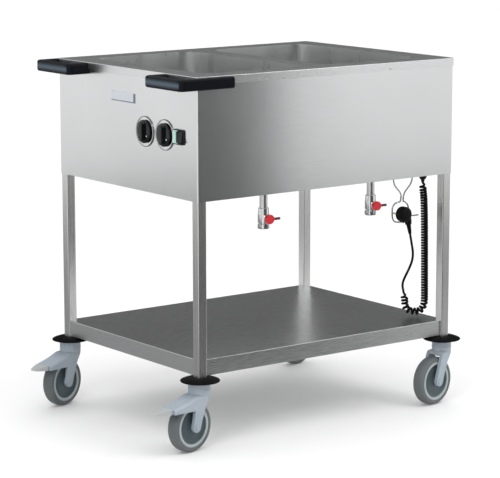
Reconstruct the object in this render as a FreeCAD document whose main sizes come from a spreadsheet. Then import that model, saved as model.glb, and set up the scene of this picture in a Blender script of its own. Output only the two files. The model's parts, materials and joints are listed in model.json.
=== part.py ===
import FreeCAD, Part
import math
import os
import Sketcher
from FreeCAD import Placement, Rotation, Vector

# Heated food-serving trolley: two deep wells for full-size pans in a sheet casing on four square
# legs, an under-shelf, four swivel casters, two drain taps and a curly mains lead.
# Millimetres. +Z is up and Z = 0 is the floor. X runs along the trolley, with the push end and
# its control panel at -X. Y runs across it, with the taps and the cord towards -Y.

os.makedirs("parts", exist_ok=True)
doc = FreeCAD.newDocument("food_trolley")
sheet = doc.addObject("Spreadsheet::Sheet", "sizes")

# Driving dimensions: name, value, what it is.
SIZES = [
    ("centre_shift", 52.22, "casing centre in X, which puts the whole trolley's box over the origin"),
    ("case_length", 802, "casing along X"),
    ("case_width", 606, "casing along Y"),
    ("deck_z", 900, "top of the deck above the floor"),
    ("case_z", 603, "lower edge of the casing"),
    ("sheet_thick", 1.5, "casing and tray sheet"),
    ("deck_thick", 1.5, "deck sheet"),
    ("case_corner", 4, "outer corner radius of the casing"),
    ("lip_depth", 20, "how far the deck is folded down"),
    ("lip_proud", 2, "how far the folded edge stands off the casing"),
    ("floor_z", 606, "underside of the casing floor"),
    ("well_x", 184, "well centre from the trolley's middle"),
    ("well_length", 312, "well opening along X"),
    ("well_width", 496, "well opening along Y"),
    ("well_corner", 45, "corner radius of the opening"),
    ("well_depth", 200, "depth of a well"),
    ("well_wall", 1.2, "sheet of a well"),
    ("well_flange", 12, "flange under the deck"),
    ("well_bend", 15, "radius at the foot of a well's wall"),
    ("blanket", 11, "insulation around a well"),
    ("tap_x", 170, "drain tap from the trolley's middle"),
    ("tap_y", -255, "drain tap across the trolley"),
    ("drain_y", -212, "drain hole in a well's bottom"),
    ("drain_r", 9.8, "outer radius of a drain pipe"),
    ("drain_bore", 8, "bore radius of a drain pipe"),
    ("elbow_z", 665, "height of the drain's cross run"),
    ("valve_top", 563, "top of a tap's body"),
    ("valve_z", 537, "height of a tap's lever axis"),
    ("valve_foot", 511, "lowest point of a tap"),
    ("ball_r", 9, "ball inside a tap"),
    ("element_r", 4.25, "heating element tube radius"),
    ("element_bend", 28, "radius of the element's turns"),
    ("element_run", 170, "half length of the element's straight runs"),
    ("leg_side", 25, "square leg tube"),
    ("leg_wall", 1.5, "wall of a leg tube"),
    ("leg_foot", 176, "lower end of the legs"),
    ("leg_head", 892, "upper end of the legs, under the deck"),
    ("shelf_z", 218, "top of the lower shelf"),
    ("shelf_fold", 40, "depth of the shelf's folded edge"),
    ("shelf_inset", 6, "shelf edge inside the legs' outer faces"),
    ("disc_r", 48.5, "bumper disc radius"),
    ("disc_thick", 12, "bumper disc at its middle"),
    ("disc_rim", 4, "bumper disc at its rim"),
    ("head_r", 25, "caster head radius"),
    ("head_foot", 134, "lower end of the caster head"),
    ("stem_r", 6, "caster stem radius"),
    ("fit", 0.05, "radial running clearance"),
    ("wheel_r", 62.5, "wheel radius over the tyre"),
    ("rim_r", 54, "wheel centre radius under the tyre"),
    ("tyre_half", 16, "half width of the tyre"),
    ("trail", 38, "wheel axis behind the swivel axis"),
    ("axle_r", 4, "axle radius"),
    ("fork_half", 26.5, "half width of a caster fork outside"),
    ("slot_half", 18, "half width of the slot for the wheel"),
    ("tip_r", 12.5, "rounded end of a fork's cheeks"),
    ("wheel_room", 67, "radius of the space round the wheel"),
    ("pedal_pin_x", -103, "pedal pin behind the swivel axis"),
    ("pedal_pin_z", 111.5, "pedal pin above the floor"),
    ("pedal_pin_r", 2.5, "pedal pin radius"),
    ("pedal_half", 20, "half width of a pedal's tread"),
    ("tongue_half", 15, "half width of a pedal inside the fork"),
    ("swivel_push_right", 10.9, "caster turned by, in degrees"),
    ("swivel_push_left", 18, "caster turned by, in degrees"),
    ("swivel_free_right", 10, "caster turned by, in degrees"),
    ("swivel_free_left", 12, "caster turned by, in degrees"),
    ("handle_out", 59, "push handle beyond the folded edge"),
    ("handle_side", 16.5, "push handle outside the folded edge"),
    ("handle_back", 102, "handle's arm behind the casing's end"),
    ("handle_inner", 165, "inner end of a handle from the middle"),
    ("handle_foot", 870, "underside of the handles"),
    ("handle_tall", 28, "height of the handles"),
    ("grip_thick", 22, "thickness of a grip"),
    ("grip_round", 6, "rounded edges of a grip"),
    ("knob_z", 751, "height of the knobs"),
    ("knob_1_y", -85, "first knob across the panel"),
    ("knob_2_y", -169, "second knob across the panel"),
    ("grip_out", 16, "how far a knob's grip stands off the panel"),
    ("knob_r", 28.5, "knob skirt radius"),
    ("dial_r", 37.5, "dial ring radius"),
    ("spindle_r", 3, "thermostat spindle radius"),
    ("switch_y", -228.5, "switch across the panel"),
    ("switch_z", 752, "height of the switch"),
    ("rocker_axis", 2, "pivot of the rocker behind the panel"),
    ("switch_wide", 43, "switch housing across the panel"),
    ("switch_tall", 37, "switch housing height"),
    ("gland_x", 362.5, "cord gland along the trolley"),
    ("gland_y", -235, "cord gland across the trolley"),
    ("gland_foot", 583, "lower face of the gland"),
    ("cord_r", 3.1, "radius of the mains cord"),
    ("curl_r", 10, "outer radius of the curly cord"),
    ("curl_gap", 0.8, "gap between neighbouring curls"),
    ("wire_r", 1.6, "radius of the plug holder's wire"),
    ("plug_x", 297, "plug along the trolley"),
    ("plug_y", -250, "face of the plug that the pins stand on"),
    ("plug_z", 497, "plug above the floor"),
    ("plug_r", 20, "plug radius"),
    ("plug_deep", 24, "plug from its back to the face with the pins"),
]


def fill_sheet():
    """Write each driving dimension into the sheet under its own alias."""
    for row, (name, value, meaning) in enumerate(SIZES, start=1):
        sheet.set("A%d" % row, name)
        sheet.set("B%d" % row, str(value))
        sheet.set("C%d" % row, meaning)
        sheet.setAlias("B%d" % row, name)
    doc.recompute()


fill_sheet()
VALUES = {name: float(value) for name, value, meaning in SIZES}


def bound(text):
    """The sheet's expression for a formula that is written with the plain names."""
    words = []
    word = ""
    for letter in str(text) + " ":
        if letter.isalnum() or letter in "_.":
            word += letter
            continue
        words.append("sizes." + word if word in VALUES else word)
        words.append(letter)
        word = ""
    return "".join(words).strip()


def size(text):
    """The number that such a formula gives."""
    holder.setExpression("amount", bound(text))
    holder.recompute()
    return holder.amount


holder = doc.addObject("App::FeaturePython", "formula")
holder.addProperty("App::PropertyFloat", "amount")


def bind(thing, **formulas):
    """Bind each named property to the sheet; a double underscore stands for a dot."""
    for name, formula in formulas.items():
        thing.setExpression(name.replace("__", "."), bound(formula))
    return thing


PARTS = []


def finish(thing, label, x="0", y="0", z="0", turn=None):
    """Give a finished piece its name and its place on the trolley."""
    thing.Label = label
    bind(thing, Placement__Base__x="centre_shift + " + x, Placement__Base__y=y, Placement__Base__z=z)
    if turn is not None:
        thing.Placement.Rotation = Rotation(Vector(0, 0, 1), 1)
        thing.setExpression("Placement.Rotation.Angle", bound(turn))
    PARTS.append(thing)
    return thing


# ---- primitives -------------------------------------------------------------------------------

def block(x, y, z, wide, deep, tall):
    """A box from its lowest corner."""
    box = doc.addObject("Part::Box", "block")
    return bind(box, Length=wide, Width=deep, Height=tall,
                Placement__Base__x=x, Placement__Base__y=y, Placement__Base__z=z)


ROD_TURNS = {"z": Rotation(), "x": Rotation(Vector(0, 1, 0), 90), "y": Rotation(Vector(1, 0, 0), -90)}


def rod(axis, x, y, z, radius, length):
    """A cylinder that starts at a point and runs along +axis."""
    cylinder = doc.addObject("Part::Cylinder", "rod")
    cylinder.Placement.Rotation = ROD_TURNS[axis]
    return bind(cylinder, Radius=radius, Height=length,
                Placement__Base__x=x, Placement__Base__y=y, Placement__Base__z=z)


def fused(*pieces):
    """One solid from several."""
    fuse = doc.addObject("Part::MultiFuse", "fuse")
    fuse.Shapes = list(pieces)
    return fuse


def grouped(*pieces):
    """Separate solids in one node."""
    group = doc.addObject("Part::Compound", "group")
    group.Links = list(pieces)
    return group


def drilled(base, *tools):
    """A solid less its holes."""
    cut = doc.addObject("Part::Cut", "cut")
    cut.Base = base
    cut.Tool = grouped(*tools) if len(tools) > 1 else tools[0]
    return cut


# ---- bodies -----------------------------------------------------------------------------------

def new_body(name):
    return doc.addObject("PartDesign::Body", name)


def new_sketch(body, role, offset="0"):
    """A sketch on one of the body's own origin planes, moved along its normal."""
    sketch = body.newObject("Sketcher::SketchObject", "sketch")
    plane = [item for item in body.Origin.OriginFeatures if item.Role == role][0]
    sketch.AttachmentSupport = (plane, [""])
    sketch.MapMode = "FlatFace"
    bind(sketch, AttachmentOffset__Base__z=offset)
    return sketch


def pin_point(sketch, geometry, point, x, y):
    """Hold one point of the sketch at two formulas, measured from the sketch's origin."""
    for kind, formula, axis in (("DistanceX", x, -2), ("DistanceY", y, -1)):
        value = size(formula)
        if abs(value) < 1e-9:
            sketch.addConstraint(Sketcher.Constraint("PointOnObject", geometry, point, axis))
            continue
        index = sketch.addConstraint(Sketcher.Constraint(kind, -1, 1, geometry, point, value))
        sketch.setExpression("Constraints[%d]" % index, bound(formula))


def outline(sketch, points):
    """A closed outline of straight sides through points given as formulas."""
    corners = [Vector(size(x), size(y), 0) for x, y in points]
    first = sketch.GeometryCount
    count = len(points)
    for number in range(count):
        sketch.addGeometry(Part.LineSegment(corners[number], corners[(number + 1) % count]), False)
    for number in range(count):
        after = first + (number + 1) % count
        sketch.addConstraint(Sketcher.Constraint("Coincident", first + number, 2, after, 1))
    for number, (x, y) in enumerate(points):
        pin_point(sketch, first + number, 1, x, y)
    return sketch


def rectangle(sketch, x_low, x_high, y_low, y_high):
    return outline(sketch, [(x_low, y_low), (x_high, y_low), (x_high, y_high), (x_low, y_high)])


def ring_line(sketch, x, y, radius):
    """A circle at a point given as formulas."""
    circle = Part.Circle(Vector(size(x), size(y), 0), Vector(0, 0, 1), size(radius))
    index = sketch.addGeometry(circle, False)
    pin_point(sketch, index, 3, x, y)
    hold = sketch.addConstraint(Sketcher.Constraint("Radius", index, size(radius)))
    sketch.setExpression("Constraints[%d]" % hold, bound(radius))
    return sketch


def pad(body, sketch, length, both_ways=False):
    """Material from a sketch along its plane's normal, or half each way."""
    feature = body.newObject("PartDesign::Pad", "pad")
    feature.Profile = sketch
    feature.Midplane = both_ways
    bind(feature, Length=length)
    doc.recompute()
    return feature


def pocket(body, sketch, length, both_ways=False, along=False):
    """A hollow from a sketch, against its plane's normal unless it runs along it."""
    before = body.Shape.Volume
    feature = body.newObject("PartDesign::Pocket", "pocket")
    feature.Profile = sketch
    feature.Midplane = both_ways
    feature.Reversed = along
    bind(feature, Length=length)
    doc.recompute()
    if not feature.Shape.Volume < before - 1e-6:
        raise RuntimeError("a pocket of %s cuts nothing" % body.Name)
    return feature


def turned(body, sketch, axis="V_Axis"):
    """A full turn of a sketch about one of its own axes."""
    feature = body.newObject("PartDesign::Revolution", "turned")
    feature.Profile = sketch
    feature.ReferenceAxis = (sketch, [axis])
    feature.Angle = 360
    doc.recompute()
    return feature


def rounded(body, feature, radius, wanted):
    """Round the edges whose two ends both pass a test."""
    names = []
    for number, edge in enumerate(feature.Shape.Edges, start=1):
        if len(edge.Vertexes) == 2 and wanted(edge):
            names.append("Edge%d" % number)
    fillet = body.newObject("PartDesign::Fillet", "rounded")
    fillet.Base = (feature, names)
    bind(fillet, Radius=radius)
    doc.recompute()
    return fillet


def ends(edge):
    return [vertex.Point for vertex in edge.Vertexes]


def upright(edge):
    """True for an edge that stands parallel to Z."""
    a, b = ends(edge)
    return abs(a.x - b.x) < 1e-6 and abs(a.y - b.y) < 1e-6


def at_height(height):
    """A test for edges that lie at one height."""
    return lambda edge: all(abs(point.z - height) < 1e-6 for point in ends(edge))


# ---- casing -----------------------------------------------------------------------------------

LIP_SCREW_X = ("-145", "190")
HANDLE_SCREW_X = ("-case_length / 2 + 33", "-case_length / 2 + 78")
HANDLE_SCREW_Y = "handle_inner + 11"
HANDLE_SCREW_Z = "handle_foot + 14"
LIP_SCREW_Z = "deck_z - 15"


def side_holes(radius_lip, radius_handle):
    """Cutters through the folded edge and the casing for every screw in them."""
    tools = []
    for side in (-1, 1):
        low = "%d * (case_width / 2) - 4" % side
        for x in LIP_SCREW_X:
            tools.append(rod("y", x, low, LIP_SCREW_Z, radius_lip, "8"))
        for x in HANDLE_SCREW_X:
            tools.append(rod("y", x, low, HANDLE_SCREW_Z, radius_handle, "8"))
        across = "%d * (%s)" % (side, HANDLE_SCREW_Y)
        tools.append(rod("x", "-case_length / 2 - 4", across, HANDLE_SCREW_Z, radius_handle, "8"))
    return tools


def make_deck():
    """Deck with two well openings and its edge folded down all round."""
    body = new_body("deck")
    top = new_sketch(body, "XY_Plane", "deck_z - lip_depth")
    rectangle(top, "-case_length / 2 - lip_proud", "case_length / 2 + lip_proud",
              "-case_width / 2 - lip_proud", "case_width / 2 + lip_proud")
    solid = pad(body, top, "lip_depth")
    solid = rounded(body, solid, "case_corner + lip_proud", upright)
    rounded(body, solid, "1.4", at_height(size("deck_z")))
    under = new_sketch(body, "XY_Plane", "deck_z - deck_thick")
    rectangle(under, "-case_length / 2", "case_length / 2", "-case_width / 2", "case_width / 2")
    hollow = pocket(body, under, "lip_depth")
    reach = size("case_width / 2 - 1")
    solid = rounded(body, hollow, "case_corner", lambda edge: upright(edge) and
                    abs(abs(ends(edge)[0].x) - size("case_length / 2")) < 1e-3 and
                    abs(ends(edge)[0].y) > reach)
    for side in (-1, 1):
        opening = new_sketch(body, "XY_Plane", "deck_z + 1")
        middle = "%d * well_x" % side
        rectangle(opening, middle + " - well_length / 2", middle + " + well_length / 2",
                  "-well_width / 2", "well_width / 2")
        hollow = pocket(body, opening, "deck_thick + 2")
        x_side = size(middle)
        rounded(body, hollow, "well_corner", lambda edge: upright(edge) and
                abs(abs(ends(edge)[0].x - x_side) - size("well_length / 2")) < 1e-3)
    finish(drilled(body, *side_holes("1.5", "3")), "deck_top")


def make_casing():
    """Sheet wrapper round all four sides, with the panel's cut-outs at the push end."""
    body = new_body("casing")
    walls = new_sketch(body, "XY_Plane", "case_z")
    rectangle(walls, "-case_length / 2", "case_length / 2", "-case_width / 2", "case_width / 2")
    solid = pad(body, walls, "deck_z - deck_thick - case_z")
    rounded(body, solid, "case_corner", upright)
    inside = new_sketch(body, "XY_Plane", "deck_z")
    rectangle(inside, "-case_length / 2 + sheet_thick", "case_length / 2 - sheet_thick",
              "-case_width / 2 + sheet_thick", "case_width / 2 - sheet_thick")
    hollow = pocket(body, inside, "deck_z")
    inner = size("case_length / 2 - sheet_thick")
    rounded(body, hollow, "case_corner - sheet_thick",
            lambda edge: upright(edge) and abs(abs(ends(edge)[0].x) - inner) < 1e-3)
    cuts = side_holes("1.5", "3")
    for knob in ("knob_1_y", "knob_2_y"):
        cuts.append(rod("x", "-case_length / 2 - 4", knob, "knob_z", "8", "8"))
    cuts.append(block("-case_length / 2 - 4", "switch_y - switch_wide / 2 + 1",
                      "switch_z - switch_tall / 2 + 1", "8", "switch_wide - 2", "switch_tall - 2"))
    finish(drilled(body, *cuts), "casing_shell")


def make_floor():
    """Plate that closes the casing from below, notched round the legs."""
    plate = block("-case_length / 2 + sheet_thick", "-case_width / 2 + sheet_thick", "floor_z",
                  "case_length - 2 * sheet_thick", "case_width - 2 * sheet_thick", "sheet_thick")
    cuts = []
    for side in (-1, 1):
        for end in (-1, 1):
            cuts.append(block("%d * (%s) - leg_side / 2 - 1 * (1 - %d) / 2" % (end, LEG_X, end),
                              "%d * (%s) - leg_side / 2 - 1 * (1 - %d) / 2" % (side, LEG_Y, side),
                              "floor_z - 5", "leg_side + 1", "leg_side + 1", "10"))
        cuts.append(rod("z", "%d * tap_x" % side, "tap_y", "floor_z - 5", "drain_r", "10"))
    cuts.append(rod("z", "gland_x", "gland_y", "floor_z - 5", "8", "10"))
    for x in HOLDER_X:
        cuts.append(rod("z", x, HOLDER_Y, "floor_z - 5", "wire_r", "10"))
    finish(drilled(plate, *cuts), "casing_floor")


def make_name_plate():
    """Bare plate on the control panel."""
    plate = doc.addObject("Part::Box", "plate")
    bind(plate, Length="0.8", Width="104", Height="25")
    finish(plate, "name_plate", x="-case_length / 2 - 0.8", y="-42", z="deck_z - 86")


def make_lip_screws():
    """Small dome-headed screws that hold the folded edge to the casing."""
    screws = []
    for side in (-1, 1):
        face = "%d * (case_width / 2 + lip_proud)" % side
        inner = "%d * (case_width / 2 - 6)" % side
        for x in LIP_SCREW_X:
            shank = rod("y", x, face if side < 0 else inner, LIP_SCREW_Z, "1.5", "lip_proud + 6")
            head = doc.addObject("Part::Sphere", "head")
            bind(head, Radius="4", Placement__Base__x=x, Placement__Base__y="%s - %d * 2.6" % (face, side),
                 Placement__Base__z=LIP_SCREW_Z)
            trim = block(x + " - 5", face if side > 0 else face + " - 5", LIP_SCREW_Z + " - 5",
                         "10", "5", "10")
            dome = doc.addObject("Part::Common", "dome")
            dome.Base = head
            dome.Tool = trim
            screws.append(fused(shank, dome))
    finish(grouped(*screws), "lip_screws")


# ---- wells and what heats them ----------------------------------------------------------------

def soft_block(x, half_x, half_y, foot, head, corner, bend=None):
    """An upright block with rounded corners, and a rounded foot where a bend is given."""
    body = new_body("soft")
    plan = new_sketch(body, "XY_Plane", foot)
    rectangle(plan, "%s - (%s)" % (x, half_x), "%s + (%s)" % (x, half_x),
              "-(%s)" % half_y, half_y)
    solid = pad(body, plan, "%s - (%s)" % (head, foot))
    solid = rounded(body, solid, corner, upright)
    if bend is not None:
        rounded(body, solid, bend, at_height(size(foot)))
    return body


def make_well(number, side):
    """Deep drawn well with a flange under the deck and a drain hole."""
    below = "deck_z - deck_thick"
    foot = "deck_z - well_depth"
    outer = soft_block("0", "well_length / 2 + well_wall", "well_width / 2 + well_wall",
                       foot + " - well_wall", below, "well_corner + well_wall",
                       "well_bend + well_wall")
    flange = soft_block("0", "well_length / 2 + well_flange", "well_width / 2 + well_flange",
                        below + " - well_wall", below, "well_corner + well_flange")
    inner = soft_block("0", "well_length / 2", "well_width / 2", foot, "deck_z",
                       "well_corner", "well_bend")
    drain = rod("z", "(tap_x - well_x) * %d" % side, "drain_y", foot + " - 10", "drain_bore", "20")
    well = drilled(fused(outer, flange), inner, drain)
    finish(well, "well_%d" % number, x="%d * well_x" % side)


def half_ring(x, y, z, bend, radius, upper):
    """Half a torus lying flat, opening along -Y or +Y."""
    torus = doc.addObject("Part::Torus", "bend")
    torus.Angle3 = 180
    if not upper:
        torus.Placement.Rotation = Rotation(Vector(0, 0, 1), 180)
    return bind(torus, Radius1=bend, Radius2=radius,
                Placement__Base__x=x, Placement__Base__y=y, Placement__Base__z=z)


def make_elements():
    """Tubular heating element under each well, folded to and fro."""
    coils = []
    height = "deck_z - well_depth - well_wall - element_r"
    for side in (-1, 1):
        pieces = []
        for lane in range(4):
            x = "%d * well_x + %d * element_bend" % (side, 2 * lane - 3)
            pieces.append(rod("y", x, "-element_run", height, "element_r", "2 * element_run"))
        for gap in range(3):
            x = "%d * well_x + %d * element_bend" % (side, 2 * gap - 2)
            upper = gap != 1
            y = "element_run" if upper else "-element_run"
            pieces.append(half_ring(x, y, height, "element_bend", "element_r", upper))
        coils.append(fused(*pieces))
    finish(grouped(*coils), "heating_elements")


def make_blankets():
    """Insulation wrapped round each well, under its flange."""
    wraps = []
    foot = "deck_z - well_depth + well_bend + 2"
    head = "deck_z - deck_thick - well_wall"
    for side in (-1, 1):
        middle = "%d * well_x" % side
        outer = soft_block(middle, "well_length / 2 + well_wall + blanket",
                           "well_width / 2 + well_wall + blanket", foot, head,
                           "well_corner + well_wall + blanket")
        inner = soft_block(middle, "well_length / 2 + well_wall", "well_width / 2 + well_wall",
                           foot + " - 5", "deck_z", "well_corner + well_wall")
        wraps.append(drilled(outer, inner))
    finish(grouped(*wraps), "insulation_blankets")


# ---- control panel ----------------------------------------------------------------------------

PANEL = "-case_length / 2"


def make_thermostats():
    """Switch body behind each knob, with a bore for the knob's spindle."""
    bodies = []
    for knob in ("knob_1_y", "knob_2_y"):
        case = block(PANEL + " + sheet_thick", knob + " - 17", "knob_z - 17", "32", "34", "34")
        nose = rod("x", PANEL, knob, "knob_z", "8", "10")
        bore = rod("x", PANEL + " - 1", knob, "knob_z", "spindle_r + fit", "17")
        bodies.append(drilled(fused(case, nose), bore))
    finish(grouped(*bodies), "thermostats")


def make_dial_rings():
    """Bright ring round each knob, raised at its rim."""
    rings = []
    for knob in ("knob_1_y", "knob_2_y"):
        plate = rod("x", PANEL + " - 1.2", knob, "knob_z", "dial_r", "1.2")
        rim = rod("x", PANEL + " - 2.4", knob, "knob_z", "dial_r", "1.2")
        rim_room = rod("x", PANEL + " - 3", knob, "knob_z", "dial_r - 3", "1.8")
        middle = rod("x", PANEL + " - 3", knob, "knob_z", "8", "4")
        rings.append(drilled(fused(plate, drilled(rim, rim_room)), middle))
    finish(grouped(*rings), "dial_rings")


def make_knob(number):
    """Round knob with a raised grip bar and a spindle, about an axis along X."""
    skirt = new_body("knob")
    profile = new_sketch(skirt, "XZ_Plane")
    outline(profile, [("-2.8", "0"), ("-2.8", "knob_r - 7"), ("-4", "knob_r"), ("-5.8", "knob_r"),
                      ("-7.2", "knob_r - 3"), ("-7.8", "knob_r - 9"), ("-7.8", "0")])
    turned(skirt, profile, "H_Axis")
    bar = new_body("grip")
    plan = new_sketch(bar, "YZ_Plane", "-grip_out")
    rectangle(plan, "-6.5", "6.5", "-knob_r + 5", "knob_r - 5")
    solid = pad(bar, plan, "grip_out - 5")
    solid = rounded(bar, solid, "5", lambda edge: abs(ends(edge)[0].x - ends(edge)[1].x) > 5)
    front = size("-grip_out") + 0.1
    rounded(bar, solid, "2.5", lambda edge: all(point.x < front for point in ends(edge)))
    spindle = rod("x", "-5", "0", "0", "spindle_r", "18")
    finish(fused(skirt, bar, spindle), "knob_%d" % number, x=PANEL, y="knob_%d_y" % number, z="knob_z")


def make_switch():
    """Housing with a green lamp lens and a black rocker side by side."""
    plate = new_body("switch")
    front = new_sketch(plate, "YZ_Plane", "0")
    rectangle(front, "-switch_wide / 2", "switch_wide / 2", "-switch_tall / 2", "switch_tall / 2")
    flange = plate.newObject("PartDesign::Pad", "flange")
    flange.Profile = front
    flange.Reversed = True
    bind(flange, Length="4")
    doc.recompute()
    rounded(plate, flange, "6", lambda edge: abs(ends(edge)[0].x - ends(edge)[1].x) > 3)
    back = new_sketch(plate, "YZ_Plane", "0")
    rectangle(back, "-switch_wide / 2 + 1", "switch_wide / 2 - 1", "-switch_tall / 2 + 1",
              "switch_tall / 2 - 1")
    pad(plate, back, "26")
    for low, high in (("0.8", "switch_wide / 2 - 2"), ("-switch_wide / 2 + 2", "-0.8")):
        window = new_sketch(plate, "YZ_Plane", "-5")
        rectangle(window, low, high, "-switch_tall / 2 + 2.5", "switch_tall / 2 - 2.5")
        pocket(plate, window, "19", along=True)
    pivot = rod("y", "rocker_axis", "-switch_wide / 2 + 1.5", "0", "1.5", "switch_wide / 2 - 1.5")
    finish(fused(plate, pivot), "switch_housing", x=PANEL, y="switch_y", z="switch_z")

    lens = block(PANEL + " - 7.5", "switch_y + 0.8", "switch_z - switch_tall / 2 + 2.5", "19",
                 "switch_wide / 2 - 2.8", "switch_tall - 5")
    soft = doc.addObject("Part::Fillet", "lens")
    soft.Base = lens
    doc.recompute()
    front_x = size(PANEL + " - 7.5")
    chosen = []
    for number, edge in enumerate(lens.Shape.Edges, start=1):
        if all(abs(vertex.Point.x - front_x) < 1e-6 for vertex in edge.Vertexes):
            chosen.append((number, 2.4, 2.4))
    soft.Edges = chosen
    finish(soft, "lamp_lens")

    rocker = new_body("rocker")
    side = new_sketch(rocker, "XZ_Plane", "0")
    outline(side, [("-8.4", "-12.5"), ("-5.6", "0"), ("-4.6", "13"), ("-3", "14.5"), ("5", "9"),
                   ("5", "-9"), ("-7", "-14")])
    pad(rocker, side, "switch_wide / 2 - 3.6", both_ways=True)
    bore = rod("y", "rocker_axis", "-switch_wide", "0", "1.5 + fit", "2 * switch_wide")
    finish(drilled(rocker, bore), "switch_rocker", x=PANEL, y="switch_y - switch_wide / 4 + 0.6",
           z="switch_z")


def make_terminal_box():
    """Box inside the casing where the cord's cores are joined."""
    outer = block("gland_x - 45", "gland_y - 27", "floor_z + sheet_thick", "66", "60", "38")
    hollow = block("gland_x - 43", "gland_y - 25", "floor_z + sheet_thick + 2", "62", "56", "34")
    mouth = rod("z", "gland_x", "gland_y", "floor_z - 5", "8", "14")
    finish(drilled(outer, hollow, mouth), "terminal_box")


# ---- handles ----------------------------------------------------------------------------------

def make_handle(label, side):
    """Push handle round one corner of the casing: side arm, grip and return leg."""
    body = new_body("handle")
    lip_x = "-case_length / 2 - lip_proud"
    lip_y = "(case_width / 2 + lip_proud)"
    plan = new_sketch(body, "XY_Plane", "handle_foot")
    edge_x = lip_x + " - handle_out"
    points = [(lip_x, "handle_inner"), (edge_x, "handle_inner"),
              (edge_x, lip_y + " + handle_side"),
              ("-case_length / 2 + handle_back - lip_proud", lip_y + " + handle_side"),
              ("-case_length / 2 + handle_back - lip_proud", lip_y),
              (edge_x + " + grip_thick", lip_y),
              (edge_x + " + grip_thick", "handle_inner + grip_thick"),
              (lip_x, "handle_inner + grip_thick")]
    outline(plan, [(x, "%d * (%s)" % (side, y)) for x, y in points])
    solid = pad(body, plan, "handle_tall")
    outer_x = size(edge_x)
    solid = rounded(body, solid, "16", lambda edge: upright(edge) and abs(ends(edge)[0].x - outer_x) < 1e-3)
    inner_x = size(edge_x + " + grip_thick")
    solid = rounded(body, solid, "7", lambda edge: upright(edge) and abs(ends(edge)[0].x - inner_x) < 1e-3)
    arm_x = size("-case_length / 2 + handle_back - lip_proud")
    outer_y = size(lip_y + " + handle_side")
    solid = rounded(body, solid, "7", lambda edge: upright(edge) and
                    abs(ends(edge)[0].x - arm_x) < 1e-3 and abs(abs(ends(edge)[0].y) - outer_y) < 1e-3)
    mount_x = size(lip_x) - 0.5
    mount_y = size(lip_y)

    def free_edge(edge):
        """An edge of the top or the underside that doesn't lie on the casing."""
        a, b = ends(edge)
        flat = abs(a.z - b.z) < 1e-6
        on_end = a.x > mount_x and b.x > mount_x and abs(a.x - b.x) < 1e-6
        on_side = all(abs(abs(point.y) - mount_y) < 1e-3 for point in (a, b))
        behind = a.x + b.x > 2 * inner_x + 9
        return flat and not (on_side and behind) and not (on_end and abs(a.y) < mount_y - 50)

    rounded(body, solid, "grip_round", free_edge)
    holes = []
    for x in HANDLE_SCREW_X:
        start = "%d * (%s) - 1" % (side, lip_y) if side > 0 else "-(%s) - 12" % lip_y
        holes.append(rod("y", x, start, HANDLE_SCREW_Z, "3", "13"))
    holes.append(rod("x", lip_x + " - 14", "%d * (%s)" % (side, HANDLE_SCREW_Y), HANDLE_SCREW_Z, "3", "15"))
    finish(drilled(body, *holes), label)


def make_handle_screws():
    """Screws driven from inside the casing into the handles."""
    screws = []
    lip_y = "(case_width / 2 + lip_proud)"
    inner_y = "(case_width / 2 - sheet_thick)"
    for side in (-1, 1):
        for x in HANDLE_SCREW_X:
            if side > 0:
                shank = rod("y", x, inner_y, HANDLE_SCREW_Z, "3", lip_y + " + 12 - " + inner_y)
                head = rod("y", x, inner_y + " - 4", HANDLE_SCREW_Z, "5", "4")
            else:
                shank = rod("y", x, "-%s - 12" % lip_y, HANDLE_SCREW_Z, "3", lip_y + " + 12 - " + inner_y)
                head = rod("y", x, "-%s" % inner_y, HANDLE_SCREW_Z, "5", "4")
            screws.append(fused(shank, head))
        across = "%d * (%s)" % (side, HANDLE_SCREW_Y)
        start = "-case_length / 2 - lip_proud - 14"
        inner_x = "-case_length / 2 + sheet_thick"
        shank = rod("x", start, across, HANDLE_SCREW_Z, "3", "14 + lip_proud + sheet_thick")
        head = rod("x", inner_x, across, HANDLE_SCREW_Z, "5", "4")
        screws.append(fused(shank, head))
    finish(grouped(*screws), "handle_screws")


# ---- legs and shelf ---------------------------------------------------------------------------

LEG_X = "case_length / 2 - sheet_thick - leg_side / 2"
LEG_Y = "case_width / 2 - sheet_thick - leg_side / 2"
CORNERS = [("push_right", -1, -1, True), ("push_left", -1, 1, True),
           ("free_right", 1, -1, False), ("free_left", 1, 1, False)]


def make_leg(name, end, side):
    """Square tube from the caster up into the casing."""
    body = new_body("leg")
    half = "leg_side / 2"
    outer = new_sketch(body, "XY_Plane", "leg_foot")
    rectangle(outer, "-" + half, half, "-" + half, half)
    solid = pad(body, outer, "leg_head - leg_foot")
    rounded(body, solid, "leg_wall + 1.5", upright)
    inner = new_sketch(body, "XY_Plane", "leg_head + 1")
    rectangle(inner, "-leg_side / 2 + leg_wall", half + " - leg_wall",
              "-leg_side / 2 + leg_wall", half + " - leg_wall")
    hollow = pocket(body, inner, "leg_head - leg_foot + 2")
    reach = size(half + " - leg_wall")
    rounded(body, hollow, "1.5", lambda edge: upright(edge) and abs(abs(ends(edge)[0].x) - reach) < 1e-3)
    finish(body, "leg_" + name, x="%d * (%s)" % (end, LEG_X), y="%d * (%s)" % (side, LEG_Y))


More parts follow.
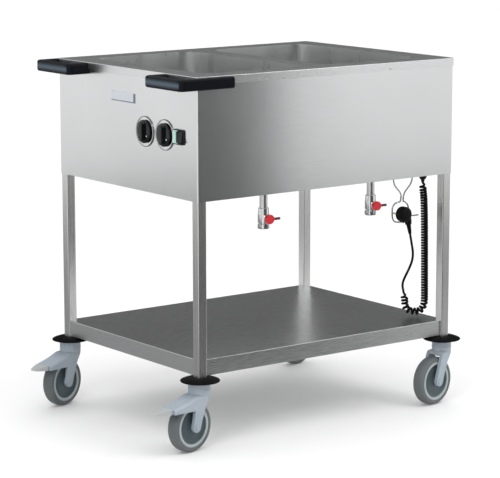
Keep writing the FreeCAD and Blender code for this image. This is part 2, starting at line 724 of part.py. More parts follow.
def make_shelf():
    """Tray with its edges folded down, notched for the legs."""
    body = new_body("tray")
    half_x = "case_length / 2 - sheet_thick - shelf_inset"
    half_y = "case_width / 2 - sheet_thick - shelf_inset"
    outer = new_sketch(body, "XY_Plane", "shelf_z - shelf_fold")
    minus_x = "-case_length / 2 + sheet_thick + shelf_inset"
    minus_y = "-case_width / 2 + sheet_thick + shelf_inset"
    rectangle(outer, minus_x, half_x, minus_y, half_y)
    solid = pad(body, outer, "shelf_fold")
    rounded(body, solid, "1.1", at_height(size("shelf_z")))
    under = new_sketch(body, "XY_Plane", "shelf_z - sheet_thick")
    rectangle(under, minus_x + " + sheet_thick", half_x + " - sheet_thick",
              minus_y + " + sheet_thick", half_y + " - sheet_thick")
    pocket(body, under, "shelf_fold")
    notches = []
    for end in (-1, 1):
        for side in (-1, 1):
            notches.append(block("%d * (%s) - leg_side / 2" % (end, LEG_X),
                                 "%d * (%s) - leg_side / 2" % (side, LEG_Y),
                                 "shelf_z - shelf_fold - 1", "leg_side", "leg_side", "shelf_fold + 2"))
    finish(drilled(body, *notches), "shelf")


# ---- casters ----------------------------------------------------------------------------------

def make_bumper(name, end, side):
    """Tapered bumper disc between a leg and its caster."""
    body = new_body("bumper")
    profile = new_sketch(body, "XZ_Plane")
    foot = "leg_foot - disc_thick"
    outline(profile, [("stem_r", foot), ("disc_r - 20", foot), ("disc_r - 1", foot + " + disc_rim - 1"),
                      ("disc_r", foot + " + disc_rim"), ("disc_r", "leg_foot - disc_rim"),
                      ("disc_r - 1", "leg_foot - disc_rim + 1"), ("disc_r - 18", "leg_foot"),
                      ("stem_r", "leg_foot")])
    turned(body, profile)
    finish(body, "bumper_" + name, x="%d * (%s)" % (end, LEG_X), y="%d * (%s)" % (side, LEG_Y))


def make_stems():
    """Square plug inside each leg with the bolt that the caster swivels on."""
    stems = []
    for name, end, side, braked in CORNERS:
        x = "%d * (%s)" % (end, LEG_X)
        y = "%d * (%s)" % (side, LEG_Y)
        plug = block(x + " - leg_side / 2 + leg_wall + 1", y + " - leg_side / 2 + leg_wall + 1", "leg_foot",
                     "leg_side - 2 * leg_wall - 2", "leg_side - 2 * leg_wall - 2", "60")
        bolt = rod("z", x, y, "leg_foot - disc_thick - 14", "stem_r", "disc_thick + 20")
        stems.append(fused(plug, bolt))
    finish(grouped(*stems), "caster_stems")


def cheek_points(braked):
    """Side view of a caster fork; with a hood over the wheel where it carries a brake."""
    right = [("-trail + 12", "wheel_r - 3"), ("-20.5", "76"), ("-14", "94"), ("-6", "113"),
             ("7", "134"), ("10", "138.5")]
    if braked:
        left = [("-34", "137.5"), ("-69", "127.5"), ("-108", "120"), ("-113", "118"), ("-113", "107"),
                ("-43.5", "104.2"), ("-46", "84"), ("-trail - 12", "wheel_r + 3")]
    else:
        left = [("-25", "138.5"), ("-30", "126"), ("-38", "104"), ("-45", "84"),
                ("-trail - 12", "wheel_r + 3")]
    return right + left + [("-trail - 6", "wheel_r - 7")]


def crown(edge):
    """True for an edge along the top of a fork's cheek."""
    return (ends(edge)[0].y * ends(edge)[1].y > 0 and
            all(point.z > 137 or point.x < -33 and point.z > 117.9 for point in ends(edge)))


def make_fork(name, end, side, braked):
    """Caster head and fork in one piece, about its own swivel axis."""
    body = new_body("fork")
    cheeks = new_sketch(body, "XZ_Plane")
    outline(cheeks, cheek_points(braked))
    solid = pad(body, cheeks, "2 * fork_half", both_ways=True)
    rounded(body, solid, "8", crown)
    tips = new_sketch(body, "XZ_Plane")
    ring_line(tips, "-trail", "wheel_r", "tip_r")
    pad(body, tips, "2 * fork_half", both_ways=True)
    head = new_sketch(body, "XY_Plane", "head_foot")
    ring_line(head, "0", "0", "head_r")
    pad(body, head, "leg_foot - disc_thick - 0.3 - head_foot")
    if braked:
        shoulder = new_sketch(body, "XY_Plane", "head_foot")
        ring_line(shoulder, "-8", "0", "head_r - 1")
        pad(body, shoulder, "leg_foot - disc_thick - 0.3 - head_foot")
    room = new_sketch(body, "XZ_Plane")
    ring_line(room, "-trail", "wheel_r", "wheel_room")
    pocket(body, room, "2 * slot_half", both_ways=True)
    if braked:
        hood = new_sketch(body, "XZ_Plane")
        outline(hood, [("-130", "90"), ("-88", "90"), ("-88", "119"), ("-130", "112.8")])
        pocket(body, hood, "2 * slot_half", both_ways=True)
        pin = new_sketch(body, "XZ_Plane")
        ring_line(pin, "pedal_pin_x", "pedal_pin_z", "pedal_pin_r")
        pad(body, pin, "2 * slot_half + 1", both_ways=True)
    axle = new_sketch(body, "XZ_Plane")
    ring_line(axle, "-trail", "wheel_r", "axle_r")
    pocket(body, axle, "2 * fork_half + 2", both_ways=True)
    stem = new_sketch(body, "XY_Plane", "leg_foot")
    ring_line(stem, "0", "0", "stem_r + fit")
    pocket(body, stem, "disc_thick + 14.5")
    finish(body, "fork_" + name, x="%d * (%s)" % (end, LEG_X), y="%d * (%s)" % (side, LEG_Y),
           turn="swivel_" + name)


def wheel_place(name, end, side):
    """Where a wheel's centre is, as formulas."""
    angle = "swivel_%s * 1 deg" % name
    return ("%d * (%s) - trail * cos(%s)" % (end, LEG_X, angle),
            "%d * (%s) - trail * sin(%s)" % (side, LEG_Y, angle))


def make_axle(name, end, side):
    """Bolt and nut across a fork, about the wheel's centre."""
    body = new_body("axle")
    profile = new_sketch(body, "XY_Plane")
    outline(profile, [("0", "-fork_half - 2.5"), ("6.5", "-fork_half - 2.5"), ("6.5", "-fork_half"),
                      ("axle_r", "-fork_half"), ("axle_r", "fork_half"), ("6.5", "fork_half"),
                      ("6.5", "fork_half + 2.5"), ("0", "fork_half + 2.5")])
    turned(body, profile)
    x, y = wheel_place(name, end, side)
    finish(body, "axle_" + name, x=x, y=y, z="wheel_r", turn="swivel_" + name)


def make_wheel(name, end, side):
    """Wheel centre: hub, web and a raised ring that carries the tyre."""
    body = new_body("wheel")
    profile = new_sketch(body, "XY_Plane")
    outline(profile, [("axle_r + fit", "-slot_half + 0.5"), ("11", "-slot_half + 0.5"), ("13", "-10"),
                      ("rim_r - 13", "-10"), ("rim_r - 11", "-tyre_half + 1"), ("rim_r", "-tyre_half + 1"),
                      ("rim_r", "tyre_half - 1"), ("rim_r - 11", "tyre_half - 1"), ("rim_r - 13", "10"),
                      ("13", "10"), ("11", "slot_half - 0.5"), ("axle_r + fit", "slot_half - 0.5")])
    turned(body, profile)
    x, y = wheel_place(name, end, side)
    finish(body, "wheel_" + name, x=x, y=y, z="wheel_r", turn="swivel_" + name)


def make_tyre(name, end, side):
    """Rubber tyre with a crowned tread."""
    body = new_body("tyre")
    profile = new_sketch(body, "XY_Plane")
    outline(profile, [("rim_r", "-tyre_half + 1"), ("rim_r + 1", "-tyre_half"),
                      ("wheel_r - 4", "-tyre_half + 1.5"), ("wheel_r - 1.2", "-tyre_half + 5"),
                      ("wheel_r", "-tyre_half + 10"), ("wheel_r", "tyre_half - 10"),
                      ("wheel_r - 1.2", "tyre_half - 5"), ("wheel_r - 4", "tyre_half - 1.5"),
                      ("rim_r + 1", "tyre_half"), ("rim_r", "tyre_half - 1")])
    turned(body, profile)
    x, y = wheel_place(name, end, side)
    finish(body, "tyre_" + name, x=x, y=y, z="wheel_r", turn="swivel_" + name)


def make_pedal(name, end, side):
    """Brake pedal: a foot tread behind the hood and a tongue on its pin."""
    body = new_body("pedal")
    tread = new_sketch(body, "XZ_Plane")
    outline(tread, [("-114.5", "120"), ("-150", "116"), ("-154.75", "113"), ("-151", "110.5"),
                    ("-137", "108.5"), ("-116.5", "106.5")])
    pad(body, tread, "2 * pedal_half", both_ways=True)
    for hand in ("", "-"):
        taper = new_sketch(body, "XY_Plane", "130")
        outline(taper, [("-114", hand + "(pedal_half + 0.1)"), ("-160", hand + "(pedal_half + 0.1)"),
                        ("-160", hand + "3"), ("-153", hand + "6"), ("-146", hand + "10")])
        pocket(body, taper, "40")
    tongue = new_sketch(body, "XZ_Plane")
    outline(tongue, [("-117", "113.6"), ("-103", "116"), ("-98.5", "115"), ("-96.5", "112"),
                     ("-99", "107.5"), ("-117", "107.5")])
    pad(body, tongue, "2 * tongue_half", both_ways=True)
    bore = new_sketch(body, "XZ_Plane")
    ring_line(bore, "pedal_pin_x", "pedal_pin_z", "pedal_pin_r + fit")
    pocket(body, bore, "2 * pedal_half", both_ways=True)
    finish(body, "brake_pedal_" + name, x="%d * (%s)" % (end, LEG_X), y="%d * (%s)" % (side, LEG_Y),
           turn="swivel_" + name)


# ---- drain taps -------------------------------------------------------------------------------

def make_drain(number, side):
    """Bent pipe from a well's bottom, down through the casing floor to the tap."""
    x = "%d * tap_x" % side
    well_foot = "deck_z - well_depth - well_wall"

    def run(radius):
        drop = rod("z", x, "drain_y", "elbow_z", radius, well_foot + " - elbow_z")
        across = rod("y", x, "tap_y", "elbow_z", radius, "drain_y - tap_y")
        down = rod("z", x, "tap_y", "valve_top", radius, "elbow_z - valve_top")
        knees = []
        for y in ("drain_y", "tap_y"):
            knee = doc.addObject("Part::Sphere", "knee")
            bind(knee, Radius=radius, Placement__Base__x=x, Placement__Base__y=y,
                 Placement__Base__z="elbow_z")
            knees.append(knee)
        return fused(drop, across, down, *knees)

    finish(drilled(run("drain_r"), run("drain_bore")), "drain_pipe_%d" % number)


def make_valve(number, side):
    """Tap body with a bore, a round seat for its ball and a boss for the lever's stem."""
    body = new_body("valve")
    profile = new_sketch(body, "XZ_Plane")
    outline(profile, [("0", "valve_foot"), ("13.5", "valve_foot"), ("14.5", "valve_foot + 1.5"),
                      ("14.5", "valve_foot + 11"), ("12.5", "valve_foot + 13"), ("14", "valve_z - 10"),
                      ("14", "valve_z + 10"), ("13", "valve_top - 10"), ("13", "valve_top - 1.5"),
                      ("11.5", "valve_top"), ("0", "valve_top")])
    turned(body, profile)
    boss = new_sketch(body, "XZ_Plane")
    ring_line(boss, "0", "valve_z", "7.5")
    pad(body, boss, "19")
    bore = new_sketch(body, "XY_Plane", "valve_top + 1")
    ring_line(bore, "0", "0", "6")
    pocket(body, bore, "valve_top - valve_foot + 2")
    stem = new_sketch(body, "XZ_Plane", "20")
    ring_line(stem, "0", "valve_z", "3 + fit")
    pocket(body, stem, "20")
    seat = doc.addObject("Part::Sphere", "seat")
    bind(seat, Radius="ball_r + fit", Placement__Base__z="valve_z")
    finish(drilled(body, seat), "valve_body_%d" % number, x="%d * tap_x" % side, y="tap_y")


def make_lever(number, side):
    """Red lever with its hub, stem and the ball that it turns."""
    hub = rod("y", "0", "-29", "valve_z", "11.5", "9.6")
    stem = rod("y", "0", "-22", "valve_z", "3", "22")
    ball = doc.addObject("Part::Sphere", "ball")
    bind(ball, Radius="ball_r", Placement__Base__z="valve_z")
    body = new_body("paddle")
    blade = new_sketch(body, "XZ_Plane", "28.4")
    outline(blade, [("-4", "valve_z - 9"), ("7", "valve_z - 8.6"), ("11", "valve_z - 3.4"),
                    ("15", "valve_z - 2.3"), ("30", "valve_z - 2.3"), ("30", "valve_z + 2.3"),
                    ("15", "valve_z + 2.3"), ("11", "valve_z + 3.4"), ("7", "valve_z + 8.6"),
                    ("-4", "valve_z + 9")])
    thick = body.newObject("PartDesign::Pad", "thick")
    thick.Profile = blade
    thick.Reversed = True
    bind(thick, Length="5")
    doc.recompute()
    way = rod("x", "-12", "0", "valve_z", "6", "24")
    whole = fused(hub, stem, ball, body)
    finish(drilled(whole, way), "valve_lever_%d" % number, x="%d * tap_x" % side, y="tap_y")


# ---- cord, plug and holder --------------------------------------------------------------------

HOLDER_Y = "-235"
HOLDER_X = ("263", "326")
CORD_Y = -235.0

# The curly stretch: straight out of the gland, down beside the leg and round just above the shelf.
CURLY_ROUTE = [
    (362.5, -235, 583), (362.5, -235, 562), (369.5, -235, 520), (373.2, -235, 300), (373.6, -235, 232),
    (334.5, -205, 232), (330.7, -205, 270), (325.5, -205.2, 290),
]
# The plain end of the cord, from the last curl up to the plug.
TAIL_ROUTE = [
    (325.5, -205.2, 290), (322.38, -205.32, 302), (323, -207.5, 314), (328, -211, 328), (336, -216, 347),
    (343, -221, 370), (340, -226, 392), (331, -231.5, 412), (323.5, -236, 429), (319.2, -237, 445),
]


def rounded_route(points):
    """Straight runs joined by the largest tangent arcs that both runs allow."""
    corners = [Vector(*point) for point in points]
    edges = []
    radii = []
    start = corners[0]
    for before, corner, after in zip(corners, corners[1:], corners[2:]):
        inward = (corner - before).normalize()
        outward = (after - corner).normalize()
        half = inward.getAngle(outward) / 2
        reach = 0.45 * min((corner - before).Length, (after - corner).Length)
        radius = reach / math.tan(half)
        enter = corner - inward * reach
        leave = corner + outward * reach
        chord = (enter + leave) * 0.5
        bulge = (corner - chord).normalize()
        middle = chord + bulge * (radius * (1 - math.cos(half)))
        edges.append(Part.LineSegment(start, enter).toShape())
        edges.append(Part.Arc(enter, middle, leave).toShape())
        radii.append(radius)
        start = leave
    edges.append(Part.LineSegment(start, corners[-1]).toShape())
    return edges, radii


def pipe(edges, radius):
    """A round tube along joined edges."""
    wire = Part.Wire(edges)
    start = edges[0].valueAt(edges[0].FirstParameter)
    along = edges[0].tangentAt(edges[0].FirstParameter)
    section = Part.Wire([Part.Circle(start, along, radius).toShape()])
    return wire.makePipeShell([section], True, False)


def keep_shape(shape, label):
    """A named piece from a shape, moved with the rest of the trolley."""
    feature = doc.addObject("Part::Feature", label)
    feature.Shape = shape
    doc.recompute()
    return finish(feature, label)


def walk(edges, step):
    """Points, directions and distances along joined edges, at about equal steps."""
    places = []
    distance = 0.0
    for edge in edges:
        count = max(2, int(edge.Length / step))
        for number in range(count):
            parameter = edge.getParameterByLength(edge.Length * number / count)
            places.append((distance + edge.Length * number / count,
                           edge.valueAt(parameter), edge.tangentAt(parameter).normalize()))
        distance += edge.Length
    last = edges[-1]
    end = last.LastParameter
    places.append((distance, last.valueAt(end), last.tangentAt(end).normalize()))
    return places


CURL_STEP = 0.25
CURL_RAMP = 14.0
CURL_EASE = 22.0
CURL_STRAIGHT = 7.0
BEND_PITCH = 1.6


def curl_points():
    """Quarter-turn points and directions of the curly cord, from its route and its pitch."""
    edges, radii = rounded_route(CURLY_ROUTE)
    places = walk(edges, CURL_STEP)
    total = places[-1][0]
    ring = size("curl_r - cord_r")
    tight = size("2 * cord_r + curl_gap")
    loose = tight * BEND_PITCH
    bend_from = sum(edge.Length for edge in edges[:7])
    bend_to = sum(edge.Length for edge in edges[:10])
    side = Vector(0, 1, 0)
    phase = 0.0
    track = []
    for number, (distance, point, along) in enumerate(places):
        side = (side - along * side.dot(along)).normalize()
        over = along.cross(side)
        left = distance - CURL_STRAIGHT
        right = total - CURL_STRAIGHT - distance
        inside = min(left, right)
        spread = 0.0
        if inside > 0:
            share = min(1.0, inside / CURL_RAMP)
            spread = ring * (0.5 - 0.5 * math.cos(math.pi * share))
        near_bend = max(bend_from - distance, distance - bend_to, 0.0)
        share = max(0.0, 1.0 - near_bend / 16.0)
        pitch = tight + (loose - tight) * (0.5 - 0.5 * math.cos(math.pi * share))
        if 0 < inside < CURL_EASE:
            share = inside / CURL_EASE
            pitch = pitch + (20.0 - pitch) * (0.5 + 0.5 * math.cos(math.pi * share))
        if number:
            before = places[number - 1][0]
            phase += 2 * math.pi * (distance - before) / pitch if inside > 0 else 0.0
        track.append((phase, point + (side * math.cos(phase) + over * math.sin(phase)) * spread))
    return track, radii, total


def quarter_marks(track):
    """The track's points and directions at the start, at each quarter turn and at the end."""
    marks = []
    wanted = math.pi / 2
    for number in range(1, len(track) - 1):
        phase, point = track[number]
        if phase >= wanted and phase > 0:
            along = (track[number + 1][1] - track[number - 1][1]).normalize()
            marks.append((point, along))
            wanted += math.pi / 2
    return marks


def biarc(start, along_start, finish_point, along_finish):
    """Two arcs that join two points with given directions smoothly."""
    chord = finish_point - start
    both = along_start + along_finish
    lean = 2 * (1 - along_start.dot(along_finish))
    if lean < 1e-9:
        return [Part.LineSegment(start, finish_point).toShape()]
    ahead = chord.dot(both)
    reach = (-ahead + math.sqrt(ahead * ahead + lean * chord.dot(chord))) / lean
    first = start + along_start * reach
    second = finish_point - along_finish * reach
    middle = (first + second) * 0.5
    pieces = []
    for a, apex, b in ((start, first, middle), (middle, second, finish_point)):
        base = (a + b) * 0.5
        half_chord = (b - a).Length / 2
        height = (apex - base).Length
        if height < 1e-5 * half_chord:
            pieces.append(Part.LineSegment(a, b).toShape())
            continue
        angle = math.atan2(height, half_chord)
        crest = base + (apex - base) * (math.tan(angle / 2) / math.tan(angle))
        pieces.append(Part.Arc(a, crest, b).toShape())
    return pieces


def least_gap(points, skip, thickness):
    """Least clear space between stretches of a tube that are apart along it, and where."""
    cells = {}
    for number, point in enumerate(points):
        key = (int(point.x // 10), int(point.y // 10), int(point.z // 10))
        cells.setdefault(key, []).append((number, point))
    least = (1e9, None)
    for (i, j, k), members in cells.items():
        around = []
        for a in (-1, 0, 1):
            for b in (-1, 0, 1):
                for c in (-1, 0, 1):
                    around.extend(cells.get((i + a, j + b, k + c), []))
        for number, point in members:
            for other, place in around:
                if other - number > skip and (point - place).Length < least[0]:
                    least = ((point - place).Length, point)
    return least[0] - thickness, least[1]


def make_curly_cord():
    """Curly stretch of the mains cord: one unbroken tube of even curls."""
    track, radii, total = curl_points()
    marks = quarter_marks(track)
    first = Vector(*CURLY_ROUTE[0])
    down = (Vector(*CURLY_ROUTE[1]) - first).normalize()
    last = Vector(*CURLY_ROUTE[-1])
    away = (last - Vector(*CURLY_ROUTE[-2])).normalize()
    lead = 2 * size("cord_r")
    places = [(first + down * lead, down)] + marks + [(last - away * lead, away)]
    edges = [Part.LineSegment(first, first + down * lead).toShape()]
    for (a, along_a), (b, along_b) in zip(places, places[1:]):
        edges.extend(biarc(a, along_a, b, along_b))
    edges.append(Part.LineSegment(last - away * lead, last).toShape())
    bends = [edge.Curve.Radius for edge in edges if hasattr(edge.Curve, "Radius")]
    along = [point for edge in edges for point in edge.discretize(max(3, int(edge.Length / 0.7)))[:-1]]
    thick = 2 * size("cord_r")
    gap, where = least_gap(along, int(3.2 * thick / 0.7), thick)
    turns = track[-1][0] / (2 * math.pi)
    length = sum(edge.Length for edge in edges)
    print("curly cord: %.1f curls, wire %.0f mm long on a %.0f mm route" % (turns, length, total))
    print("curly cord: least gap to itself %.2f mm at (%.0f, %.0f, %.0f)"
          % (gap, where.x, where.y, where.z))
    print("curly cord: tightest arc %.1f mm" % min(bends))
    print("curly cord: route radii " + ", ".join("%.1f" % radius for radius in radii))
    tube = pipe(edges, size("cord_r"))
    print("curly cord: volume over section times length %.4f"
          % (tube.Volume / (math.pi * size("cord_r") ** 2 * length)))
    keep_shape(tube, "curly_cord")


def make_cord_tail():
    """Plain end of the cord, from the curls up to the plug."""
    edges, radii = rounded_route(TAIL_ROUTE)
    tube = pipe(edges, size("cord_r"))
    length = sum(edge.Length for edge in edges)
    print("cord tail: %.0f mm, radii %s" % (length, ", ".join("%.1f" % radius for radius in radii)))
    print("cord tail: volume over section times length %.4f"
          % (tube.Volume / (math.pi * size("cord_r") ** 2 * length)))
    keep_shape(tube, "cord_tail")


def make_gland():
    """Threaded gland: nut inside, hexagon and dome outside, with a hole for the cord."""
    thread = rod("z", "gland_x", "gland_y", "floor_z - 2", "8", "16")
    nut = doc.addObject("Part::Prism", "nut")
    bind(nut, Circumradius="13", Height="5", Placement__Base__x="gland_x", Placement__Base__y="gland_y",
         Placement__Base__z="floor_z + sheet_thick + 2")
    collar = doc.addObject("Part::Prism", "collar")
    bind(collar, Circumradius="12.4", Height="9",
         Placement__Base__x="gland_x", Placement__Base__y="gland_y",
         Placement__Base__z="floor_z - 9")
    dome = doc.addObject("Part::Cone", "dome")
    bind(dome, Radius1="7.5", Radius2="11", Height="floor_z - 9 - gland_foot", Placement__Base__x="gland_x",
         Placement__Base__y="gland_y", Placement__Base__z="gland_foot")
    finish(fused(thread, nut, collar, dome), "cord_gland")


def make_plug():
    """Moulded side-entry plug: round body, sloping cord entry and ribbed relief."""
    body = new_body("plug")
    disc = new_sketch(body, "XZ_Plane")
    ring_line(disc, "0", "0", "plug_r")
    pad(body, disc, "plug_deep")
    bind(body, Placement__Base__x="plug_x", Placement__Base__y="plug_y + plug_deep",
         Placement__Base__z="plug_z")
    tail_end = Vector(*TAIL_ROUTE[-1])
    along = (tail_end - Vector(*TAIL_ROUTE[-2])).normalize()
    relief = Part.makeCone(4.2, 6.2, 26, tail_end, along)
    neck = Part.makeCone(8.5, 10, 20, tail_end + along * 26, along)
    entry = doc.addObject("Part::Feature", "entry")
    entry.Shape = relief.fuse(neck)
    finish(fused(body, entry), "plug_body")


def make_pins():
    """Two round pins on the plug's face."""
    pins = []
    for side in (-1, 1):
        pin = rod("y", "plug_x + %d * 9.5" % side, "plug_y + plug_deep", "plug_z", "2.4", "19")
        pins.append(pin)
    finish(grouped(*pins), "plug_pins")


def make_holder():
    """Two bent wires under the casing floor that cradle the plug from behind and below."""
    radius = size("wire_r")
    middle, seat = size("plug_x"), size("plug_z - plug_r - wire_r + 0.15")
    back = size("plug_y + plug_deep + wire_r + 1.5")
    top = size("floor_z + sheet_thick")
    wires = []
    for side, outer in zip((-1, 1), HOLDER_X):
        neck, ring = 293.8 + side * 4, middle + side * 27
        route = [(float(outer), CORD_Y, top), (float(outer), CORD_Y, 578), (neck, CORD_Y, 551),
                 (neck + side * 0.3, CORD_Y + 3, 529), (ring - side * 12, back, 527), (ring, back, 517),
                 (ring + side * 0.5, back, 498), (ring - side * 2, back, 482),
                 (middle + side * 14, back, seat), (middle + side * 4, back - 3, seat),
                 (middle + side * 1, back - 14, seat)]
        edges, radii = rounded_route(route)
        wires.append(pipe(edges, radius))
    stub = Part.makeCylinder(radius, 33, Vector(middle + 26.5, back, 488), Vector(1, -0.05, 0))
    keep_shape(wires[0].fuse([wires[1], stub]), "plug_holder")


# ---- the whole trolley ------------------------------------------------------------------------

def make_all():
    make_deck()
    make_casing()
    make_floor()
    make_name_plate()
    make_lip_screws()
    for number, side in ((1, -1), (2, 1)):
        make_well(number, side)
        make_knob(number)
        make_drain(number, side)
        make_valve(number, side)
        make_lever(number, side)
    make_elements()
    make_blankets()
    make_thermostats()
    make_dial_rings()
    make_switch()
    make_terminal_box()
    make_handle("handle_right", -1)
    make_handle("handle_left", 1)
    make_handle_screws()
    make_shelf()
    make_stems()
    for name, end, side, braked in CORNERS:
        make_leg(name, end, side)
        make_bumper(name, end, side)
        make_fork(name, end, side, braked)
        make_axle(name, end, side)
        make_wheel(name, end, side)
        make_tyre(name, end, side)
        if braked:
            make_pedal(name, end, side)
    make_gland()
    make_curly_cord()
    make_cord_tail()
    make_plug()
    make_pins()
    make_holder()


def check_and_write():
    """Stop on any failed object or bad solid, then write every piece."""
    doc.recompute()
    for item in doc.Objects:
        if "Invalid" in item.State or "Error" in item.State:
            raise RuntimeError("%s (%s) is %s" % (item.Name, item.Label, item.State))
    for piece in PARTS:
        shape = piece.Shape
        if shape.isNull() or not shape.isValid() or not shape.Solids:
            raise RuntimeError("%s has no valid solid" % piece.Label)
    whole = FreeCAD.BoundBox()
    for piece in PARTS:
        piece.Shape.exportStep("parts/%s.step" % piece.Label)
        if piece.Label not in CORD_NODES:
            whole.add(piece.Shape.optimalBoundingBox(False, False))
    print("%d nodes" % len(PARTS))
    print("box without the cord: X %.2f to %.2f, Y %.2f to %.2f, Z %.2f to %.2f"
          % (whole.XMin, whole.XMax, whole.YMin, whole.YMax, whole.ZMin, whole.ZMax))


CORD_NODES = ("curly_cord", "cord_tail", "plug_body", "plug_pins")
make_all()
check_and_write()
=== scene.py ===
import json
import math

import bmesh
import bpy
from mathutils import Matrix, Vector


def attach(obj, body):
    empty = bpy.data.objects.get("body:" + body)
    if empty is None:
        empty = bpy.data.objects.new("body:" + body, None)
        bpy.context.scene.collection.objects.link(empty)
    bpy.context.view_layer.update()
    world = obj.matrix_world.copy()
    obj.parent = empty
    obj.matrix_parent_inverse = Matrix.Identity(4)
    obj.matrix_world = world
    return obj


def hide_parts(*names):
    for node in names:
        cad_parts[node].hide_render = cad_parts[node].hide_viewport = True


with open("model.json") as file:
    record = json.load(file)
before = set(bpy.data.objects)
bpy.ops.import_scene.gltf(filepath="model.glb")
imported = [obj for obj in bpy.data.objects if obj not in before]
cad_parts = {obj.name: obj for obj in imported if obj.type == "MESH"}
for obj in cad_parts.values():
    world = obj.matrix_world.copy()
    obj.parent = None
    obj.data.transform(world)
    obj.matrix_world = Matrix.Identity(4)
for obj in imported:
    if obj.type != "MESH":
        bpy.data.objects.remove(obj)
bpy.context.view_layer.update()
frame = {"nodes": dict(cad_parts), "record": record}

# Lengths written in millimetres become metres through MM. X and Y count from the middle of the
# casing, which stands CASING_X ahead of the frame's origin, and Z counts from the floor.
MM = 0.001
CASING_X = 52.22
CASE_LENGTH = 802
PANEL_X = -CASE_LENGTH / 2
CORNERS = ("push_right", "push_left", "free_right", "free_left")
BRAKED = ("push_right", "push_left")


def spot(x, y, z):
    """A point given in millimetres from the middle of the casing, in the frame."""
    return Vector((CASING_X + x, y, z)) * MM


# ---- camera -----------------------------------------------------------------------------------

VIEW_ANGLES = (-36.859351, 10.033550, -0.053625)
VIEW_AIM = (-12.83, 9.62, 430.787)
VIEW_DISTANCE = 5.858892
LENS_LENGTH = 163.16


def place_camera():
    """Long lens, a little above the deck, looking at the near corner of the push end."""
    azimuth, elevation, roll = (math.radians(angle) for angle in VIEW_ANGLES)
    back = Vector((math.sin(azimuth) * math.cos(elevation), -math.cos(azimuth) * math.cos(elevation),
                   math.sin(elevation)))
    right = (-back).cross(Vector((0, 0, 1))).normalized()
    up = right.cross(-back)
    turn = Matrix.Rotation(roll, 3, back)
    axes = Matrix((turn @ right, turn @ up, back)).transposed().to_4x4()
    lens = bpy.data.cameras.new("camera")
    lens.sensor_width = 36
    lens.lens = LENS_LENGTH
    lens.clip_end = 60
    camera = bpy.data.objects.new("camera", lens)
    camera.matrix_world = Matrix.Translation(spot(*VIEW_AIM) + back * VIEW_DISTANCE) @ axes
    bpy.context.collection.objects.link(camera)
    bpy.context.scene.camera = camera


place_camera()

# ---- finishes ---------------------------------------------------------------------------------

class Finish:
    """A finish built from nodes that read Object coordinates."""

    def __init__(self, name, **sockets):
        self.material = bpy.data.materials.new(name)
        self.material.use_nodes = True
        self.nodes = self.material.node_tree.nodes
        self.links = self.material.node_tree.links
        self.shader = self.nodes["Principled BSDF"]
        for socket, value in sockets.items():
            self.shader.inputs[socket.replace("_", " ")].default_value = value
        self.place = self.nodes.new("ShaderNodeTexCoord").outputs["Object"]

    def noise(self, scale, detail=3.0, stretch=(1, 1, 1)):
        """Cloudy pattern, stretched where the finish has a grain."""
        mapping = self.nodes.new("ShaderNodeMapping")
        mapping.inputs["Scale"].default_value = stretch
        self.links.new(self.place, mapping.inputs["Vector"])
        noise = self.nodes.new("ShaderNodeTexNoise")
        noise.inputs["Scale"].default_value = scale
        noise.inputs["Detail"].default_value = detail
        self.links.new(mapping.outputs["Vector"], noise.inputs["Vector"])
        return noise.outputs["Fac"]

    def ramp(self, value, stops):
        """Colours along a pattern."""
        ramp = self.nodes.new("ShaderNodeValToRGB")
        elements = ramp.color_ramp.elements
        while len(elements) < len(stops):
            elements.new(0.5)
        for element, (place, colour) in zip(elements, stops):
            element.position = place
            element.color = (*colour, 1)
        self.links.new(value, ramp.inputs["Fac"])
        return ramp.outputs["Color"]

    def level(self, value, low, high):
        """A pattern's middle range spread over two levels."""
        spread = self.nodes.new("ShaderNodeMapRange")
        spread.inputs["From Min"].default_value = 0.3
        spread.inputs["From Max"].default_value = 0.7
        spread.inputs["To Min"].default_value = low
        spread.inputs["To Max"].default_value = high
        self.links.new(value, spread.inputs["Value"])
        return spread.outputs["Result"]

    def band(self, axis, low, high, soft):
        """1 between two heights along an axis, in metres in the frame, and 0 outside them."""
        split = self.nodes.new("ShaderNodeSeparateXYZ")
        self.links.new(self.place, split.inputs[0])
        sides = []
        for edge, sign in ((low, 1), (high, -1)):
            rise = self.nodes.new("ShaderNodeMapRange")
            rise.interpolation_type = "SMOOTHSTEP"
            rise.inputs["From Min"].default_value = edge - sign * soft
            rise.inputs["From Max"].default_value = edge + sign * soft
            self.links.new(split.outputs[axis], rise.inputs["Value"])
            sides.append(rise.outputs["Result"])
        return self.product(*sides)

    def product(self, first, second):
        """Two levels multiplied."""
        both = self.nodes.new("ShaderNodeMath")
        both.operation = "MULTIPLY"
        self.links.new(first, both.inputs[0])
        self.links.new(second, both.inputs[1])
        return both.outputs[0]

    def times(self, first, second):
        """Two colours multiplied."""
        mix = self.nodes.new("ShaderNodeMixRGB")
        mix.blend_type = "MULTIPLY"
        mix.inputs["Fac"].default_value = 1.0
        self.links.new(first, mix.inputs["Color1"])
        self.links.new(second, mix.inputs["Color2"])
        return mix.outputs["Color"]

    def feed(self, socket, value):
        """A pattern led to a socket of the shader."""
        self.links.new(value, self.shader.inputs[socket])
        return self

    def bump(self, value, strength, distance):
        """Surface relief from a pattern."""
        bump = self.nodes.new("ShaderNodeBump")
        bump.inputs["Strength"].default_value = strength
        bump.inputs["Distance"].default_value = distance
        self.links.new(value, bump.inputs["Height"])
        self.links.new(bump.outputs["Normal"], self.shader.inputs["Normal"])
        return self


